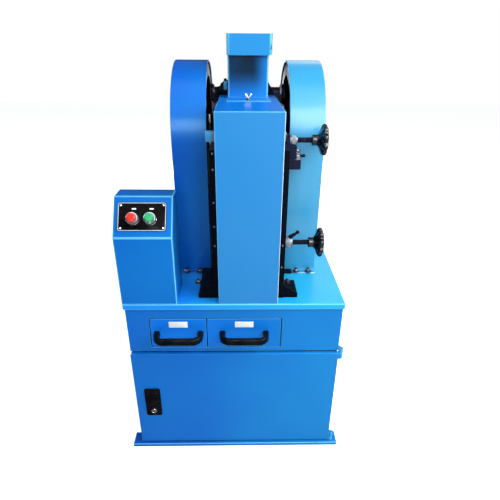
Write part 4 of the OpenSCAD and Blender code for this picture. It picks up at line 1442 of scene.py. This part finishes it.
def hand_knob(knob, axis):
    """A dished knob with nine lobes, turned on the screw's axis."""
    low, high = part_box(knob)
    long, disc = high.x - low.x, (high.y - low.y) / 2
    rows = [
        # radius, height, share of the lobes' depth
        (0.0125, 0.0, 0), (0.0138, 0.001, 0), (0.0140, 0.003, 0), (0.0136, 0.010, 0),
        (0.0138, 0.013, 0), (0.0165, 0.0165, 0.05), (0.0215, 0.0195, 0.15), (0.0285, 0.0222, 0.4),
        (disc - 0.0052, 0.0245, 0.8), (disc - 0.0018, 0.0262, 1), (disc, 0.0295, 1),
        (disc, long - 0.0060, 1), (disc - 0.0016, long - 0.0030, 0.9),
        (disc - 0.0048, long - 0.0012, 0.7), (disc - 0.0120, long, 0.2), (0.0180, long, 0),
        (0.0165, long - 0.0010, 0), (0.0120, long - 0.0012, 0), (0.0010, long - 0.0012, 0),
    ]
    lobes = 9, 6 * MM, [share for _, _, share in rows]
    grip = turned(knob + ".skin", [(radius, height) for radius, height, _ in rows], 144, KNOB_BLACK,
                  shift(low.x, axis.y, axis.z) @ facing(X), lobes=lobes)
    place_on(grip, BODY_OF[knob], "black_plastic", knob)


def screw_boss(boss, axis):
    """A bored ring with a ribbed band round it."""
    low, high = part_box(boss)
    radius, long, bore = (high.z - low.z) / 2, high.x - low.x, 7.6 * MM
    ring = turned(boss + ".skin", [
        (bore, 0.0), (radius, 0.0), (radius, 0.0035), (radius - 0.0008, 0.0045),
        (radius - 0.0008, long - 0.0025), (radius - 0.0022, long), (bore + 0.0008, long),
        (bore, long - 0.001),
    ], 64, LIGHT_STEEL, shift(low.x, axis.y, axis.z) @ facing(X), 30)
    place_on(ring, BODY_OF[boss], "light_steel", boss)
    middle = (low.x + long * 0.55, axis.y, axis.z)
    knurl = grown(boss + "_knurl", "ribs", [(middle, X, 0.0)], LIGHT_STEEL,
                  Radius=radius - 0.9 * MM, Height=long * 0.5, Rib_Width=1.6 * MM, Count=42)
    place_on(knurl, BODY_OF[boss], "light_steel")


def finish_plain_nodes():
    """Gives every CAD piece that still shows its own finish."""
    for node, piece in frame["nodes"].items():
        for slot in piece.material_slots:
            slot.link = "OBJECT"
            slot.material = FINISH_OF_SLOT[SLOT_OF[node]]
    for slot in frame["nodes"]["jaw_axle"].material_slots:
        slot.material = AXLE_STEEL


# ------------------------------------------------------------------ the whole machine

aim_camera()
light_studio()
white_world()
lay_floor()
bpy.context.scene.view_settings.view_transform = "Standard"

finish_plain_nodes()
dress_cabinet()
dress_door_lock()
bridge_handle("left_handle")
bridge_handle("right_handle")
drawer_labels()
dress_control_box()
dress_covers()
dress_frame()
frame_bolts()
axle_nuts()
dress_wing_screw()
dress_clamp_stud()
lock_lever()
dress_screw("upper_spindle", "upper_knob", "upper_boss")
dress_screw("lower_spindle", "lower_knob", "lower_boss")
